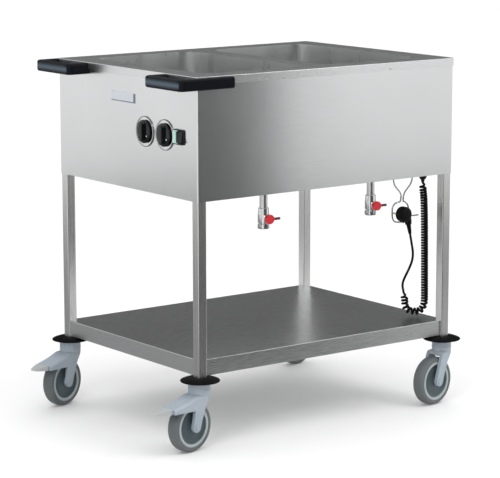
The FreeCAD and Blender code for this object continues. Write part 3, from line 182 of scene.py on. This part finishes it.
def brushed(name, tone, stretch, roughness=(0.24, 0.34), grain_scale=60, depth=0.06, low=0.93):
    """Stainless steel with a fine grain one way and faint clouding."""
    steel = Finish(name, Metallic=1.0)
    grain = steel.noise(grain_scale, 4, stretch)
    cloud = steel.noise(3.5, 2)
    tint = steel.ramp(grain, [(0.3, tuple(c * low for c in tone)), (0.7, tone)])
    shade = steel.ramp(cloud, [(0.3, (0.95, 0.95, 0.95)), (0.7, (1, 1, 1))])
    steel.feed("Base Color", steel.times(tint, shade))
    steel.feed("Roughness", steel.level(grain, *roughness))
    return steel.bump(grain, depth, 0.0002)


def moulded(name, dark, light, roughness, grain=900, depth=0.08, **sockets):
    """Moulded plastic or rubber with a fine grain."""
    plastic = Finish(name, **sockets)
    speck = plastic.noise(grain, 2)
    cloud = plastic.noise(14, 3)
    plastic.feed("Base Color", plastic.ramp(cloud, [(0.3, dark), (0.7, light)]))
    plastic.feed("Roughness", plastic.level(speck, *roughness))
    return plastic.bump(speck, depth, 0.0003)


STEEL = (0.72, 0.73, 0.735)
SHEET = brushed("brushed_sheet", STEEL, (0.4, 0.4, 40), (0.18, 0.27))
TRAY = brushed("tray_sheet", STEEL, (0.4, 40, 40))
TUBE = brushed("satin_tube", (0.70, 0.70, 0.695), (30, 30, 0.06), (0.25, 0.29), depth=0.02, low=0.98)
WELL = brushed("drawn_well", (0.70, 0.71, 0.71), (0.6, 0.6, 0.1), (0.26, 0.32), 40, 0.01, 0.97)
PLATE = brushed("plate_sheet", (0.74, 0.78, 0.84), (0.4, 8, 40), (0.30, 0.40))
PLATED = brushed("plated", (0.68, 0.69, 0.70), (3, 3, 3), (0.12, 0.20), 60, 0.03)
BLACK = moulded("black_moulding", (0.004, 0.005, 0.006), (0.008, 0.009, 0.010), (0.24, 0.34),
                Specular_IOR_Level=0.22)
KNOB = moulded("knob_moulding", (0.003, 0.004, 0.005), (0.006, 0.007, 0.008), (0.12, 0.18),
               Specular_IOR_Level=0.30)
HANDLE = moulded("handle_moulding", (0.003, 0.004, 0.006), (0.006, 0.008, 0.011), (0.30, 0.40),
                 Specular_IOR_Level=0.08)

CORD = moulded("cord_sheath", (0.002, 0.002, 0.002), (0.004, 0.004, 0.004), (0.38, 0.50), 700,
               Specular_IOR_Level=0.12)
TYRE = moulded("tyre_rubber", (0.105, 0.12, 0.125), (0.14, 0.155, 0.16), (0.55, 0.70), 500, 0.15)
WEB = moulded("wheel_web", (0.050, 0.074, 0.086), (0.066, 0.094, 0.108), (0.45, 0.58))
RIM = moulded("wheel_rim", (0.36, 0.41, 0.42), (0.43, 0.48, 0.49), (0.35, 0.48))
FORK = moulded("fork_moulding", (0.33, 0.385, 0.44), (0.39, 0.445, 0.50), (0.36, 0.48))
PEDAL = moulded("pedal_moulding", (0.40, 0.42, 0.42), (0.47, 0.49, 0.49), (0.36, 0.48))
BUMPER = moulded("bumper_rubber", (0.003, 0.003, 0.003), (0.006, 0.006, 0.006), (0.55, 0.65), 600,
                 Specular_IOR_Level=0.05)
RED = moulded("lever_red", (0.50, 0.012, 0.022), (0.60, 0.020, 0.030), (0.26, 0.38))
MAROON = moulded("sleeve_maroon", (0.075, 0.014, 0.035), (0.10, 0.022, 0.048), (0.30, 0.42))
LENS = moulded("lamp_lens", (0.50, 0.78, 0.70), (0.60, 0.86, 0.78), (0.14, 0.24),
               Transmission_Weight=0.15)
# Painted shade: dark green for the shaded end of the lamp lens.
LENS_PAINTED_SHADE = moulded("lamp_lens_painted_shade", (0.010, 0.045, 0.035), (0.014, 0.060, 0.048), (0.14, 0.24))
PLATE_END = moulded("plate_dark_end", (0.14, 0.17, 0.21), (0.18, 0.21, 0.26), (0.35, 0.45))
WOOL = moulded("mineral_wool", (0.55, 0.48, 0.30), (0.70, 0.64, 0.45), (0.85, 0.95), 300, 0.5)
INNER = moulded("inner_moulding", (0.55, 0.53, 0.48), (0.66, 0.64, 0.60), (0.40, 0.55))
SCORCHED = brushed("element_tube", (0.34, 0.32, 0.31), (6, 1, 6), (0.35, 0.50))
ZINC = brushed("zinc_screw", (0.62, 0.63, 0.64), (4, 4, 4), (0.25, 0.40))
BRASS = brushed("plated_pin", (0.74, 0.66, 0.48), (4, 1, 4), (0.20, 0.30))
# Painted shade for the dials' outer edge.
DIAL_EDGE_SHADE = moulded("dial_edge_painted_shade", (0.02, 0.02, 0.022), (0.03, 0.03, 0.032), (0.40, 0.50))
POINTER = moulded("pointer_print", (0.72, 0.72, 0.70), (0.80, 0.80, 0.78), (0.40, 0.50))

# Where the painted highlight lies on the grips: across the front face (X) and up the grip (Z).
GRIP_FRONT = (-480, -460.5)
GRIP_HIGHLIGHT_Z = (878.5, 889.0)


def paint_grip_highlight():
    """Painted highlight: a paler band along the front of both grips, for the sheen on their rounded
    fronts.
    """
    front = HANDLE.band("X", *((CASING_X + x) * MM for x in GRIP_FRONT), 0.6 * MM)
    height = HANDLE.band("Z", *(z * MM for z in GRIP_HIGHLIGHT_Z), 6 * MM)
    painted_highlight = HANDLE.ramp(HANDLE.product(front, height), [(0.0, (0.005, 0.006, 0.008)),
                                                         (1.0, (0.085, 0.115, 0.145))])
    HANDLE.feed("Base Color", painted_highlight)


paint_grip_highlight()

NODE_FINISH = {
    "deck_top": TRAY, "casing_shell": SHEET, "casing_floor": TRAY, "well_1": WELL, "well_2": WELL,
    "heating_elements": SCORCHED, "insulation_blankets": WOOL, "thermostats": INNER,
    "terminal_box": INNER, "dial_rings": PLATED, "name_plate": PLATE, "switch_housing": BLACK,
    "switch_rocker": BLACK, "lamp_lens": LENS, "knob_1": KNOB, "knob_2": KNOB,
    "handle_left": HANDLE, "handle_right": HANDLE, "handle_screws": ZINC, "lip_screws": ZINC,
    "shelf": TRAY, "caster_stems": ZINC, "drain_pipe_1": TUBE, "drain_pipe_2": TUBE,
    "valve_body_1": PLATED, "valve_body_2": PLATED, "valve_lever_1": RED, "valve_lever_2": RED,
    "cord_gland": BLACK, "plug_body": CORD, "plug_pins": BRASS, "plug_holder": PLATED,
    "curly_cord": CORD, "cord_tail": CORD,
}
CORNER_FINISH = {"leg_": TUBE, "bumper_": BUMPER, "fork_": FORK, "axle_": FORK, "wheel_": RIM,
                 "tyre_": TYRE, "brake_pedal_": PEDAL}
for corner in CORNERS:
    NODE_FINISH.update({start + corner: finish for start, finish in CORNER_FINISH.items()})


def dress_nodes():
    """Give every piece of the frame its finish."""
    for name, node in frame["nodes"].items():
        node.material_slots[0].material = NODE_FINISH[name].material


dress_nodes()

# ---- making pieces ----------------------------------------------------------------------------

WELD = 0.002 * MM


def settle(name, build, finish, body, stands_for=(), crease=32, edge=0.0, segments=2):
    """Turn a bmesh into a finished piece that rides on a body.

    Edges sharper than crease degrees are rounded by edge millimetres, or kept sharp without it.
    """
    bmesh.ops.remove_doubles(build, verts=build.verts, dist=WELD)
    bmesh.ops.recalc_face_normals(build, faces=build.faces)
    mesh = bpy.data.meshes.new(name)
    build.to_mesh(mesh)
    build.free()
    mesh.materials.append(finish.material)
    mesh.shade_smooth()
    piece = bpy.data.objects.new(name, mesh)
    bpy.context.collection.objects.link(piece)
    if edge:
        soft = piece.modifiers.new("soft_edges", "BEVEL")
        soft.width = edge * MM
        soft.segments = segments
        soft.limit_method = "ANGLE"
        soft.angle_limit = math.radians(crease)
    else:
        mesh.set_sharp_from_angle(angle=math.radians(crease))
    flat = piece.modifiers.new("flat_faces_stay_flat", "WEIGHTED_NORMAL")
    flat.keep_sharp = True
    flat.weight = 50
    return ridden(piece, body, stands_for)


def ridden(piece, body, stands_for=()):
    """Fix a piece to its body and the nodes that it stands for."""
    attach(piece, body)
    if stands_for:
        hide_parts(*stands_for)
    return piece


def lathe(profile, steps=64, place=None):
    """A full turn of a profile of (radius, height) in millimetres about Z, then set in place."""
    build = bmesh.new()
    points = [build.verts.new((radius * MM, 0, height * MM)) for radius, height in profile]
    edges = [build.edges.new(pair) for pair in zip(points, points[1:])]
    bmesh.ops.spin(build, geom=points + edges, cent=(0, 0, 0), axis=(0, 0, 1), angle=2 * math.pi,
                   steps=steps, use_merge=True)
    bmesh.ops.remove_doubles(build, verts=build.verts, dist=1e-7)
    if place:
        bmesh.ops.transform(build, matrix=place, verts=build.verts)
    return build


def facing(place, axis):
    """A place whose Z axis points along a direction."""
    return Matrix.Translation(place) @ Vector(axis).to_track_quat("Z", "Y").to_matrix().to_4x4()


def bar(low, high, rounding, segments=2):
    """A rounded bar between two corners in millimetres from the casing's middle."""
    build = bmesh.new()
    bmesh.ops.create_cube(build, size=1)
    low, high = spot(*low), spot(*high)
    size = high - low
    bmesh.ops.transform(build, matrix=Matrix.Translation((low + high) / 2) @ Matrix.Diagonal((*size, 1)),
                        verts=build.verts)
    bmesh.ops.bevel(build, geom=build.edges[:], offset=rounding * MM, segments=segments, profile=0.5,
                    affect="EDGES", material=-1)
    return build


def joined(*builds):
    """Several bmeshes in one."""
    whole = bmesh.new()
    for build in builds:
        mesh = bpy.data.meshes.new("part")
        build.to_mesh(mesh)
        build.free()
        whole.from_mesh(mesh)
        bpy.data.meshes.remove(mesh)
    return whole


def refined(node, finish, body, edge=0.0, crease=32, segments=2, plating=0.0):
    """The frame's own shape with its flat faces whole again, soft edges and smooth shading.

    Plating, in millimetres, thickens every surface.
    """
    build = bmesh.new()
    build.from_mesh(frame["nodes"][node].data)
    bmesh.ops.remove_doubles(build, verts=build.verts, dist=WELD)
    bmesh.ops.dissolve_limit(build, angle_limit=math.radians(0.5), verts=build.verts, edges=build.edges)
    build.normal_update()
    for vertex in build.verts:
        vertex.co += vertex.normal * plating * MM
    return settle(node + "_finished", build, finish, body, [node], crease, edge, segments)


def joint(name):
    """A joint's place and axis."""
    for item in frame["record"]["behaviour"]["joints"]:
        if item["name"] == name:
            return Vector(item["pos_m"]), Vector(item["axis"])


# ---- cord -------------------------------------------------------------------------------------

# The curls keep CURL_PITCH apart. They open by BEND_PITCH round the low bend, up to BEND_HEIGHT
# above its lowest point, and to END_PITCH where the curly stretch starts and ends.
CORD_R = 3.1
CURL_RING = 6.9
CURL_PITCH = 7.0
BEND_PITCH = 1.6
BEND_HEIGHT = 26
END_PITCH = 20
END_RAMP = 22
CURL_STEPS = 12
CURL_LEAD = 7.0
CURL_RAMP = 14.0
TRACE_STEP = 0.1

CURLY_ROUTE = [
    (362.5, -235, 583), (362.5, -235, 562), (369.5, -235, 520), (373.2, -235, 300), (373.6, -235, 232),
    (334.5, -205, 232), (330.7, -205, 270), (325.5, -205.2, 290),
]
TAIL_ROUTE = [
    (325.5, -205.2, 290), (322.38, -205.32, 302), (323, -207.5, 314), (328, -211, 328), (336, -216, 347),
    (343, -221, 370), (340, -226, 392), (331, -231.5, 412), (323.5, -236, 429), (319.2, -237, 445),
]


def spline_curve(name, points, resolution):
    """A smooth open curve with these points as its control points."""
    curve = bpy.data.curves.new(name, "CURVE")
    curve.dimensions = "3D"
    curve.resolution_u = resolution
    spline = curve.splines.new("NURBS")
    spline.points.add(len(points) - 1)
    for knot, point in zip(spline.points, points):
        knot.co = (*point, 1)
    spline.order_u = 3
    spline.use_endpoint_u = True
    piece = bpy.data.objects.new(name, curve)
    bpy.context.collection.objects.link(piece)
    return piece


def followed(points):
    """Points read from the smooth curve of a route."""
    guide = spline_curve("guide", points, 48)
    mesh = bpy.data.meshes.new_from_object(guide)
    line = [vertex.co.copy() for vertex in mesh.vertices]
    curve = guide.data
    bpy.data.objects.remove(guide)
    bpy.data.curves.remove(curve)
    bpy.data.meshes.remove(mesh)
    return line


def eased(share):
    """0 to 1 in a smooth ramp."""
    share = min(1.0, max(0.0, share))
    return 0.5 - 0.5 * math.cos(math.pi * share)


def curl_line():
    """Control points of the curly stretch: a helix about the route's smooth curve."""
    line = followed([spot(*point) for point in CURLY_ROUTE])
    total = sum((b - a).length for a, b in zip(line, line[1:])) / MM
    widen = 1 / math.cos(math.pi / CURL_STEPS)
    low = min(point.z for point in line) / MM
    points = []
    side = Vector((0, 1, 0))
    distance, phase = 0.0, 0.0
    for a, b in zip(line, line[1:]):
        along = (b - a).normalized()
        side = (side - along * side.dot(along)).normalized()
        over = along.cross(side)
        steps = max(1, round((b - a).length / MM / TRACE_STEP))
        for step in range(steps):
            point = a.lerp(b, step / steps)
            inside = min(distance, total - distance) - CURL_LEAD
            height = point.z / MM - low
            pitch = CURL_PITCH * (1 + (BEND_PITCH - 1) * eased(1.4 - height / BEND_HEIGHT))
            if inside > 0:
                pitch += (END_PITCH - pitch) * (1 - eased(inside / END_RAMP))
                phase += 2 * math.pi * (b - a).length / MM / steps / pitch
            if inside > 0 and phase >= len(points) * 2 * math.pi / CURL_STEPS:
                ring = CURL_RING * MM * widen * eased(inside / CURL_RAMP)
                points.append(point + (side * math.cos(phase) + over * math.sin(phase)) * ring)
            distance += (b - a).length / MM / steps
    return points


def make_cord():
    """Curly mains lead from the gland to the plug: one line, its curls worked out along the route."""
    start = spot(*CURLY_ROUTE[0])
    last = spot(*CURLY_ROUTE[-1])
    points = [start, start - Vector((0, 0, 3.5 * MM))] + curl_line() + [last]
    points += [spot(*point) for point in TAIL_ROUTE[1:]]
    piece = spline_curve("mains_lead", points, 3)
    piece.data.bevel_depth = CORD_R * MM
    piece.data.bevel_resolution = 3
    piece.data.use_fill_caps = True
    piece.data.materials.append(CORD.material)
    ridden(piece, "trolley", ["curly_cord", "cord_tail"])
    return piece, start


PLUG_CENTRE = (297, -250, 497)
PLUG_PROFILE = [(0, 0), (13, 0), (16.5, 0.8), (19.2, 3.2), (20, 6), (20, 20), (19.3, 22.6), (17.6, 24),
                (0, 24)]
RECESS_PROFILE = [(0, -0.25), (8.5, -0.25), (9.2, -0.05), (9.6, 0.3), (0, 0.3)]
PLUG_STEPS = 96
GRIP_RADIUS = 18.8
GRIP_GROOVE = 0.6
RELIEF_RINGS = 7


def plug_disc(at):
    """The plug's round body, with every second step of its rim sunk as a finger groove."""
    disc = lathe(PLUG_PROFILE, PLUG_STEPS, at)
    middle = Vector((at.translation.x, 0, at.translation.z))
    for vertex in disc.verts:
        arm = Vector((vertex.co.x, 0, vertex.co.z)) - middle
        turn = math.degrees(math.atan2(arm.x, arm.z))
        if arm.length > GRIP_RADIUS * MM and round(turn * PLUG_STEPS / 360) % 2:
            vertex.co -= arm.normalized() * GRIP_GROOVE * MM
    return disc


def plug_relief():
    """The ringed sleeve that widens from the cord's end into the plug's neck."""
    end = spot(*TAIL_ROUTE[-1])
    along = (end - spot(*TAIL_ROUTE[-2])).normalized()
    profile = [(0, 0), (4.0, 0), (4.3, 0.6)]
    for ring in range(RELIEF_RINGS):
        height = 1.5 + ring * 3.4
        radius = 4.3 + ring * 0.26
        profile += [(radius, height), (radius + 0.2, height + 2.2), (radius - 0.7, height + 2.5),
                    (radius - 0.6, height + 3.2)]
    profile += [(6.2, 25.6), (8.5, 27), (10, 46), (0, 46)]
    return lathe(profile, 40, facing(end, along))


def make_plug():
    """Round moulded plug with a ribbed rim, a sloping neck and a ringed relief."""
    at = facing(spot(*PLUG_CENTRE), (0, 1, 0))
    disc = plug_disc(at)
    recess = lathe(RECESS_PROFILE, 48, at)
    relief = plug_relief()
    return settle("plug_moulding", joined(disc, recess, relief), CORD, "trolley", ["plug_body"], 40)


NUT_PROFILE = [(0, 606), (11.2, 606), (12.3, 605), (12.3, 598.2), (11, 597.1), (0, 597.1)]
SLEEVE_PROFILE = [(0, 597.3), (10.6, 597.3), (11, 596), (10.6, 591), (9, 586), (7.5, 583), (5.4, 582.2),
                  (5.2, 580.6), (4.5, 580.2), (4.8, 578.6), (4.2, 578.2), (4.4, 576.6), (3.9, 576.2),
                  (4.0, 574.8), (3.3, 574.2), (0, 574.2)]


def make_gland():
    """Hexagon nut under the casing floor with a ribbed sleeve that tapers down the cord."""
    x, y, _ = CURLY_ROUTE[0]
    at = Matrix.Translation(spot(x, y, 0))
    collar = lathe(NUT_PROFILE, 6, at)
    dome = lathe(SLEEVE_PROFILE, 48, at)
    settle("gland_and_relief", joined(collar, dome), BLACK, "trolley",
                  ["cord_gland"], 30)


lead, lead_exit = make_cord()
plug = make_plug()
make_gland()

# ---- wheels and casters -----------------------------------------------------------------------

RIM_PROFILE = [(43.2, 9.6), (43.2, 14.4), (44.2, 15.3), (49.4, 15.3), (50.6, 14.4), (51.5, 9.6)]
WEB_PROFILE = [(4.2, 17.4), (10.4, 17.4), (11.8, 16.4), (12.6, 11.6), (15, 10.4), (29, 10.1), (30, 9.4),
               (38, 9.4), (40.5, 10.4), (43.4, 12.4), (43.4, 9)]
TYRE_PROFILE = [(50.4, 13.6), (50.8, 15.2), (52.4, 15.9), (56, 15.9), (58.6, 15.0), (60.8, 12.6),
                (62.1, 9.2), (62.5, 5.2), (62.5, 0.9), (62.25, 0)]


BEAD_PROFILE = [(24.2, 149.2), (25.6, 148.6), (26, 147.8), (25.6, 147), (24.2, 146.4), (24.2, 149.2)]
HEAD_RING_PROFILE = [(24.6, 161.4), (25.12, 161.2), (25.12, 160.2), (24.6, 160), (24.6, 161.4)]
BUFFER_PROFILE = [(0, 176), (26, 175.8), (34, 174.6), (43, 171.4), (47.4, 169.4), (48.5, 168),
                  (47.6, 166.4), (43, 165.2), (33, 164.3), (0, 164)]
ROUND_STEPS = 96


def both_sides(profile):
    """A profile and its mirror image, as one closed line."""
    mirrored = [(radius, -height) for radius, height in reversed(profile)]
    return profile + mirrored + [profile[0]]


def make_wheels():
    """Tyre, light rim and dark web of each wheel, turned about its axle."""
    for corner in CORNERS:
        place, axis = joint("roll_" + corner)
        at = facing(place, axis)
        body = "wheel_" + corner
        settle("tread_" + corner, lathe(both_sides(TYRE_PROFILE), ROUND_STEPS, at), TYRE, body,
               ["tyre_" + corner], 25)
        settle("web_" + corner, lathe(both_sides(WEB_PROFILE), ROUND_STEPS, at), WEB, body,
               ["wheel_" + corner], 25)
        settle("rim_" + corner, lathe(both_sides(RIM_PROFILE), ROUND_STEPS, at), RIM, body,
               ["wheel_" + corner], 25)


def make_casters():
    """Forks with a bead and a dark ring round their heads, bumper discs and brake pedals."""
    for corner in CORNERS:
        caster = "caster_" + corner
        refined("fork_" + corner, FORK, caster, 1.0, 28)
        place, _ = joint("swivel_" + corner)
        at = Matrix.Translation((place.x, place.y, 0))
        settle("head_bead_" + corner, lathe(BEAD_PROFILE, ROUND_STEPS, at), FORK, caster,
               crease=60)
        # A dark ring round the head, a little under the bumper.
        settle("head_dark_ring_" + corner, lathe(HEAD_RING_PROFILE, ROUND_STEPS, at), WEB, caster,
               crease=60)
        settle("buffer_" + corner, lathe(BUFFER_PROFILE, ROUND_STEPS, at), BUMPER, "trolley",
               ["bumper_" + corner], 30)
    for corner in BRAKED:
        refined("brake_pedal_" + corner, PEDAL, "pedal_" + corner, 1.0, 28)


make_wheels()
make_casters()

# ---- casing, wells and shelf ------------------------------------------------------------------

def make_body():
    """Sheet-metal pieces with the small radii of folded and ground edges."""
    refined("deck_top", TRAY, "trolley", 0.5, 40)
    refined("casing_shell", SHEET, "trolley", 0.4, 40)
    refined("shelf", TRAY, "trolley", 0.5, 40)
    refined("name_plate", PLATE, "trolley", 0.3, 40)
    for well in ("well_1", "well_2"):
        refined(well, WELL, "trolley", 0, 40)
    for corner in CORNERS:
        refined("leg_" + corner, TUBE, "trolley", 0, 30)


make_body()

# ---- handles, knobs and switch ----------------------------------------------------------------

KNOBS = ((1, -85), (2, -169))
KNOB_Z = 751
MARK_OFFSET = (-7.3, -15.2, -10)
EDGE_PROFILE = [(35.7, 2.3), (35.9, 2.55), (37.1, 2.5), (37.6, 2.0), (37.6, 0.3), (35.7, 0.3), (35.7, 2.3)]
DOT_PROFILE = [(0, 0.7), (1.5, 0.65), (2.1, 0.4), (2.3, 0), (0, 0)]
LENS_END = ((-408.6, -227.9, 736.6), (-400.5, -222.6, 767.4))
PLATE_BAND = ((-402.1, -42.2, 815), (-401.2, -35, 838))
PLATE_LINE = ((-402.1, -35, 815), (-401.2, 61.5, 817.4))


def make_dial_edge_shade(number, y):
    """Painted shade: a dark line round a bright dial ring, for the shaded outer edge of its raised rim."""
    edge = lathe(EDGE_PROFILE, ROUND_STEPS, facing(spot(PANEL_X, y, KNOB_Z), (-1, 0, 0)))
    settle("dial_edge_%d" % number, edge, DIAL_EDGE_SHADE, "trolley", crease=50)


def make_knob_mark(number, y):
    """Pale dot on a knob's skirt, which shows the setting."""
    out, across, down = MARK_OFFSET
    at = facing(spot(PANEL_X + out, y + across, KNOB_Z + down), (-1, 0, 0))
    settle("knob_mark_%d" % number, lathe(DOT_PROFILE, 24, at), POINTER, "knob_%d" % number,
           crease=50)


def make_controls():
    """Knobs, dial edges of painted shade, lamp and rocker on the panel, and the push handles' mouldings.
    """
    for number, y in KNOBS:
        knob = "knob_%d" % number
        refined(knob, KNOB, knob, 0, 34)
        make_dial_edge_shade(number, y)
        make_knob_mark(number, y)
    refined("switch_housing", BLACK, "trolley", 0.5, 34)
    refined("switch_rocker", BLACK, "rocker", 1.2, 34, 3)
    refined("lamp_lens", LENS, "trolley", 0, 34)
    # Painted shade: a dark green bar over the lens's end stands in for its shaded side.
    settle("lens_end_painted_shade", bar(*LENS_END, 2.2, 3), LENS_PAINTED_SHADE, "trolley")
    settle("plate_end_band", bar(*PLATE_BAND, 0.3), PLATE_END, "trolley")
    settle("plate_foot_line", bar(*PLATE_LINE, 0.3), PLATE_END, "trolley")
    for handle in ("handle_right", "handle_left"):
        refined(handle, HANDLE, "trolley", 0, 40)


make_controls()

# ---- drain taps and the plug's holder ---------------------------------------------------------

TAPS = (1, 2)
SLEEVE_CENTRE = Vector((22.1, -25.9, 0))
SLEEVE_SIZE = Vector((16.6, 6.2, 6))


def make_sleeve(number):
    """Dark dipped sleeve over the thin part of a tap's lever."""
    stem, _ = joint("turn_lever_%d" % number)
    centre = (stem - spot(0, 0, 0)) / MM + SLEEVE_CENTRE
    build = bar(centre - SLEEVE_SIZE / 2, centre + SLEEVE_SIZE / 2, 1.4, 3)
    settle("lever_sleeve_%d" % number, build, MAROON, "lever_%d" % number)


def make_taps():
    """Drain pipes, tap bodies and levers with softened edges, and the wires that hold the plug."""
    for number in TAPS:
        refined("valve_lever_%d" % number, RED, "lever_%d" % number, 0.5, 34)
        refined("valve_body_%d" % number, PLATED, "trolley", 0, 26)
        refined("drain_pipe_%d" % number, TUBE, "trolley", 0, 34)
        make_sleeve(number)
    refined("plug_holder", PLATED, "trolley", 0, 34, plating=0.45)


make_taps()

# ---- studio -----------------------------------------------------------------------------------

FLOOR_GLOW = 0.11
WORLD_LIGHT = 0.50
SUN_LIGHT = 2.0
LEFT_LIGHT = 26
RIGHT_LIGHT = 20


def link(name, build):
    """A studio object from a bmesh, which isn't part of the trolley."""
    mesh = bpy.data.meshes.new(name)
    build.to_mesh(mesh)
    build.free()
    thing = bpy.data.objects.new(name, mesh)
    bpy.context.collection.objects.link(thing)
    return thing


def seen_plainly(nodes, links):
    """1 for what the camera, a mirror or a clear piece shows, and 0 for light on other surfaces."""
    path = nodes.new("ShaderNodeLightPath")
    seen = path.outputs["Is Camera Ray"]
    for ray in ("Is Glossy Ray", "Is Transmission Ray"):
        most = nodes.new("ShaderNodeMath")
        most.operation = "MAXIMUM"
        links.new(seen, most.inputs[0])
        links.new(path.outputs[ray], most.inputs[1])
        seen = most.outputs[0]
    return seen


def make_floor():
    """Pale floor that keeps the trolley's shadow and runs out to white."""
    build = bmesh.new()
    bmesh.ops.create_grid(build, x_segments=1, y_segments=1, size=20)
    floor = link("floor", build)
    floor.location.z = -0.0005
    finish = Finish("pale_floor", Roughness=0.9, Specular_IOR_Level=0.1, Emission_Color=(1, 1, 1, 1))
    finish.feed("Base Color", finish.ramp(finish.noise(2, 2), [(0.3, (0.81, 0.81, 0.81)),
                                                               (0.7, (0.82, 0.82, 0.82))]))
    glow = finish.nodes.new("ShaderNodeMath")
    glow.operation = "MULTIPLY"
    glow.inputs[1].default_value = FLOOR_GLOW
    finish.links.new(seen_plainly(finish.nodes, finish.links), glow.inputs[0])
    finish.feed("Emission Strength", glow.outputs[0])
    floor.data.materials.append(finish.material)


def make_world():
    """White to the camera, to mirrors and through glass; soft light for everything else."""
    world = bpy.data.worlds.new("studio")
    world.use_nodes = True
    bpy.context.scene.world = world
    nodes, links = world.node_tree.nodes, world.node_tree.links
    nodes.clear()
    strength = nodes.new("ShaderNodeMapRange")
    strength.inputs["To Min"].default_value = WORLD_LIGHT
    strength.inputs["To Max"].default_value = 1.0
    links.new(seen_plainly(nodes, links), strength.inputs["Value"])
    background = nodes.new("ShaderNodeBackground")
    background.inputs["Color"].default_value = (1, 1, 1, 1)
    links.new(strength.outputs["Result"], background.inputs["Strength"])
    output = nodes.new("ShaderNodeOutputWorld")
    links.new(background.outputs["Background"], output.inputs["Surface"])


def flag(name, place, wide, tall, shade, heading=None):
    """Studio flag that only reflections see: flat on the floor, or upright and facing a heading."""
    build = bmesh.new()
    bmesh.ops.create_grid(build, x_segments=1, y_segments=1, size=0.5)
    turn = Matrix()
    if heading is not None:
        turn = Matrix.Rotation(math.radians(heading + 90), 4, "Z") @ Matrix.Rotation(math.pi / 2, 4, "X")
    stretch = Matrix.Diagonal((wide, tall, 1, 1))
    bmesh.ops.transform(build, matrix=Matrix.Translation(place) @ turn @ stretch, verts=build.verts)
    card = link(name, build)
    card.visible_camera = False
    card.visible_diffuse = False
    card.visible_shadow = False
    card.visible_transmission = False
    finish = Finish(name + "_cloth", Base_Color=(0, 0, 0, 1), Specular_IOR_Level=0.0)
    cloth = finish.ramp(finish.noise(4, 2), [(0.3, (shade * 0.95,) * 3), (0.7, (shade,) * 3)])
    finish.feed("Emission Color", cloth)
    finish.shader.inputs["Emission Strength"].default_value = 1.0
    card.data.materials.append(finish.material)


def make_flags():
    """Grey flags that shape what the steel reflects, as round a photographer's table."""
    flag("front_flag", (-0.07, -1.35, 0.85), 1.5, 1.7, 0.12, 90)
    flag("front_mat", (-0.2, -1.78, 0.004), 1.9, 2.35, 0.14)
    flag("side_mat", (1.75, -2.2, 0.004), 2.0, 1.5, 0.12)
    flag("side_mat_edge", (1.75, -1.02, 0.004), 2.0, 0.86, 0.42)
    flag("end_mat", (-1.68, 1.0, 0.006), 2.35, 4.4, 0.29)
    flag("back_flag", (1.1, 1.5, 1.1), 4.6, 2.6, 0.14, -127)


def lamp(name, kind, place, aim, energy, **facts):
    """A lamp turned towards a point. A sun doesn't show in reflections, so it blinds no flat sheet."""
    data = bpy.data.lights.new(name, kind)
    data.energy = energy
    for fact, value in facts.items():
        setattr(data, fact, value)
    light = bpy.data.objects.new(name, data)
    light.location = place
    light.rotation_euler = (Vector(aim) - Vector(place)).to_track_quat("-Z", "Y").to_euler()
    light.visible_glossy = kind != "SUN"
    bpy.context.collection.objects.link(light)


def make_lamps():
    """One broad light overhead and two soft ones for the plastics."""
    lamp("overhead", "SUN", (0.8, 0.2, 3.0), (0, 0, 0), SUN_LIGHT, angle=math.radians(100))
    lamp("left_box", "AREA", (-2.4, -1.6, 2.2), (0, 0, 0.6), LEFT_LIGHT,
         shape="RECTANGLE", size=1.2, size_y=1.2)
    lamp("right_box", "AREA", (1.6, -2.8, 2.2), (0.1, 0, 0.6), RIGHT_LIGHT,
         shape="RECTANGLE", size=0.9, size_y=1.4)


make_floor()
make_world()
make_flags()
make_lamps()
bpy.context.scene.view_settings.view_transform = "Standard"
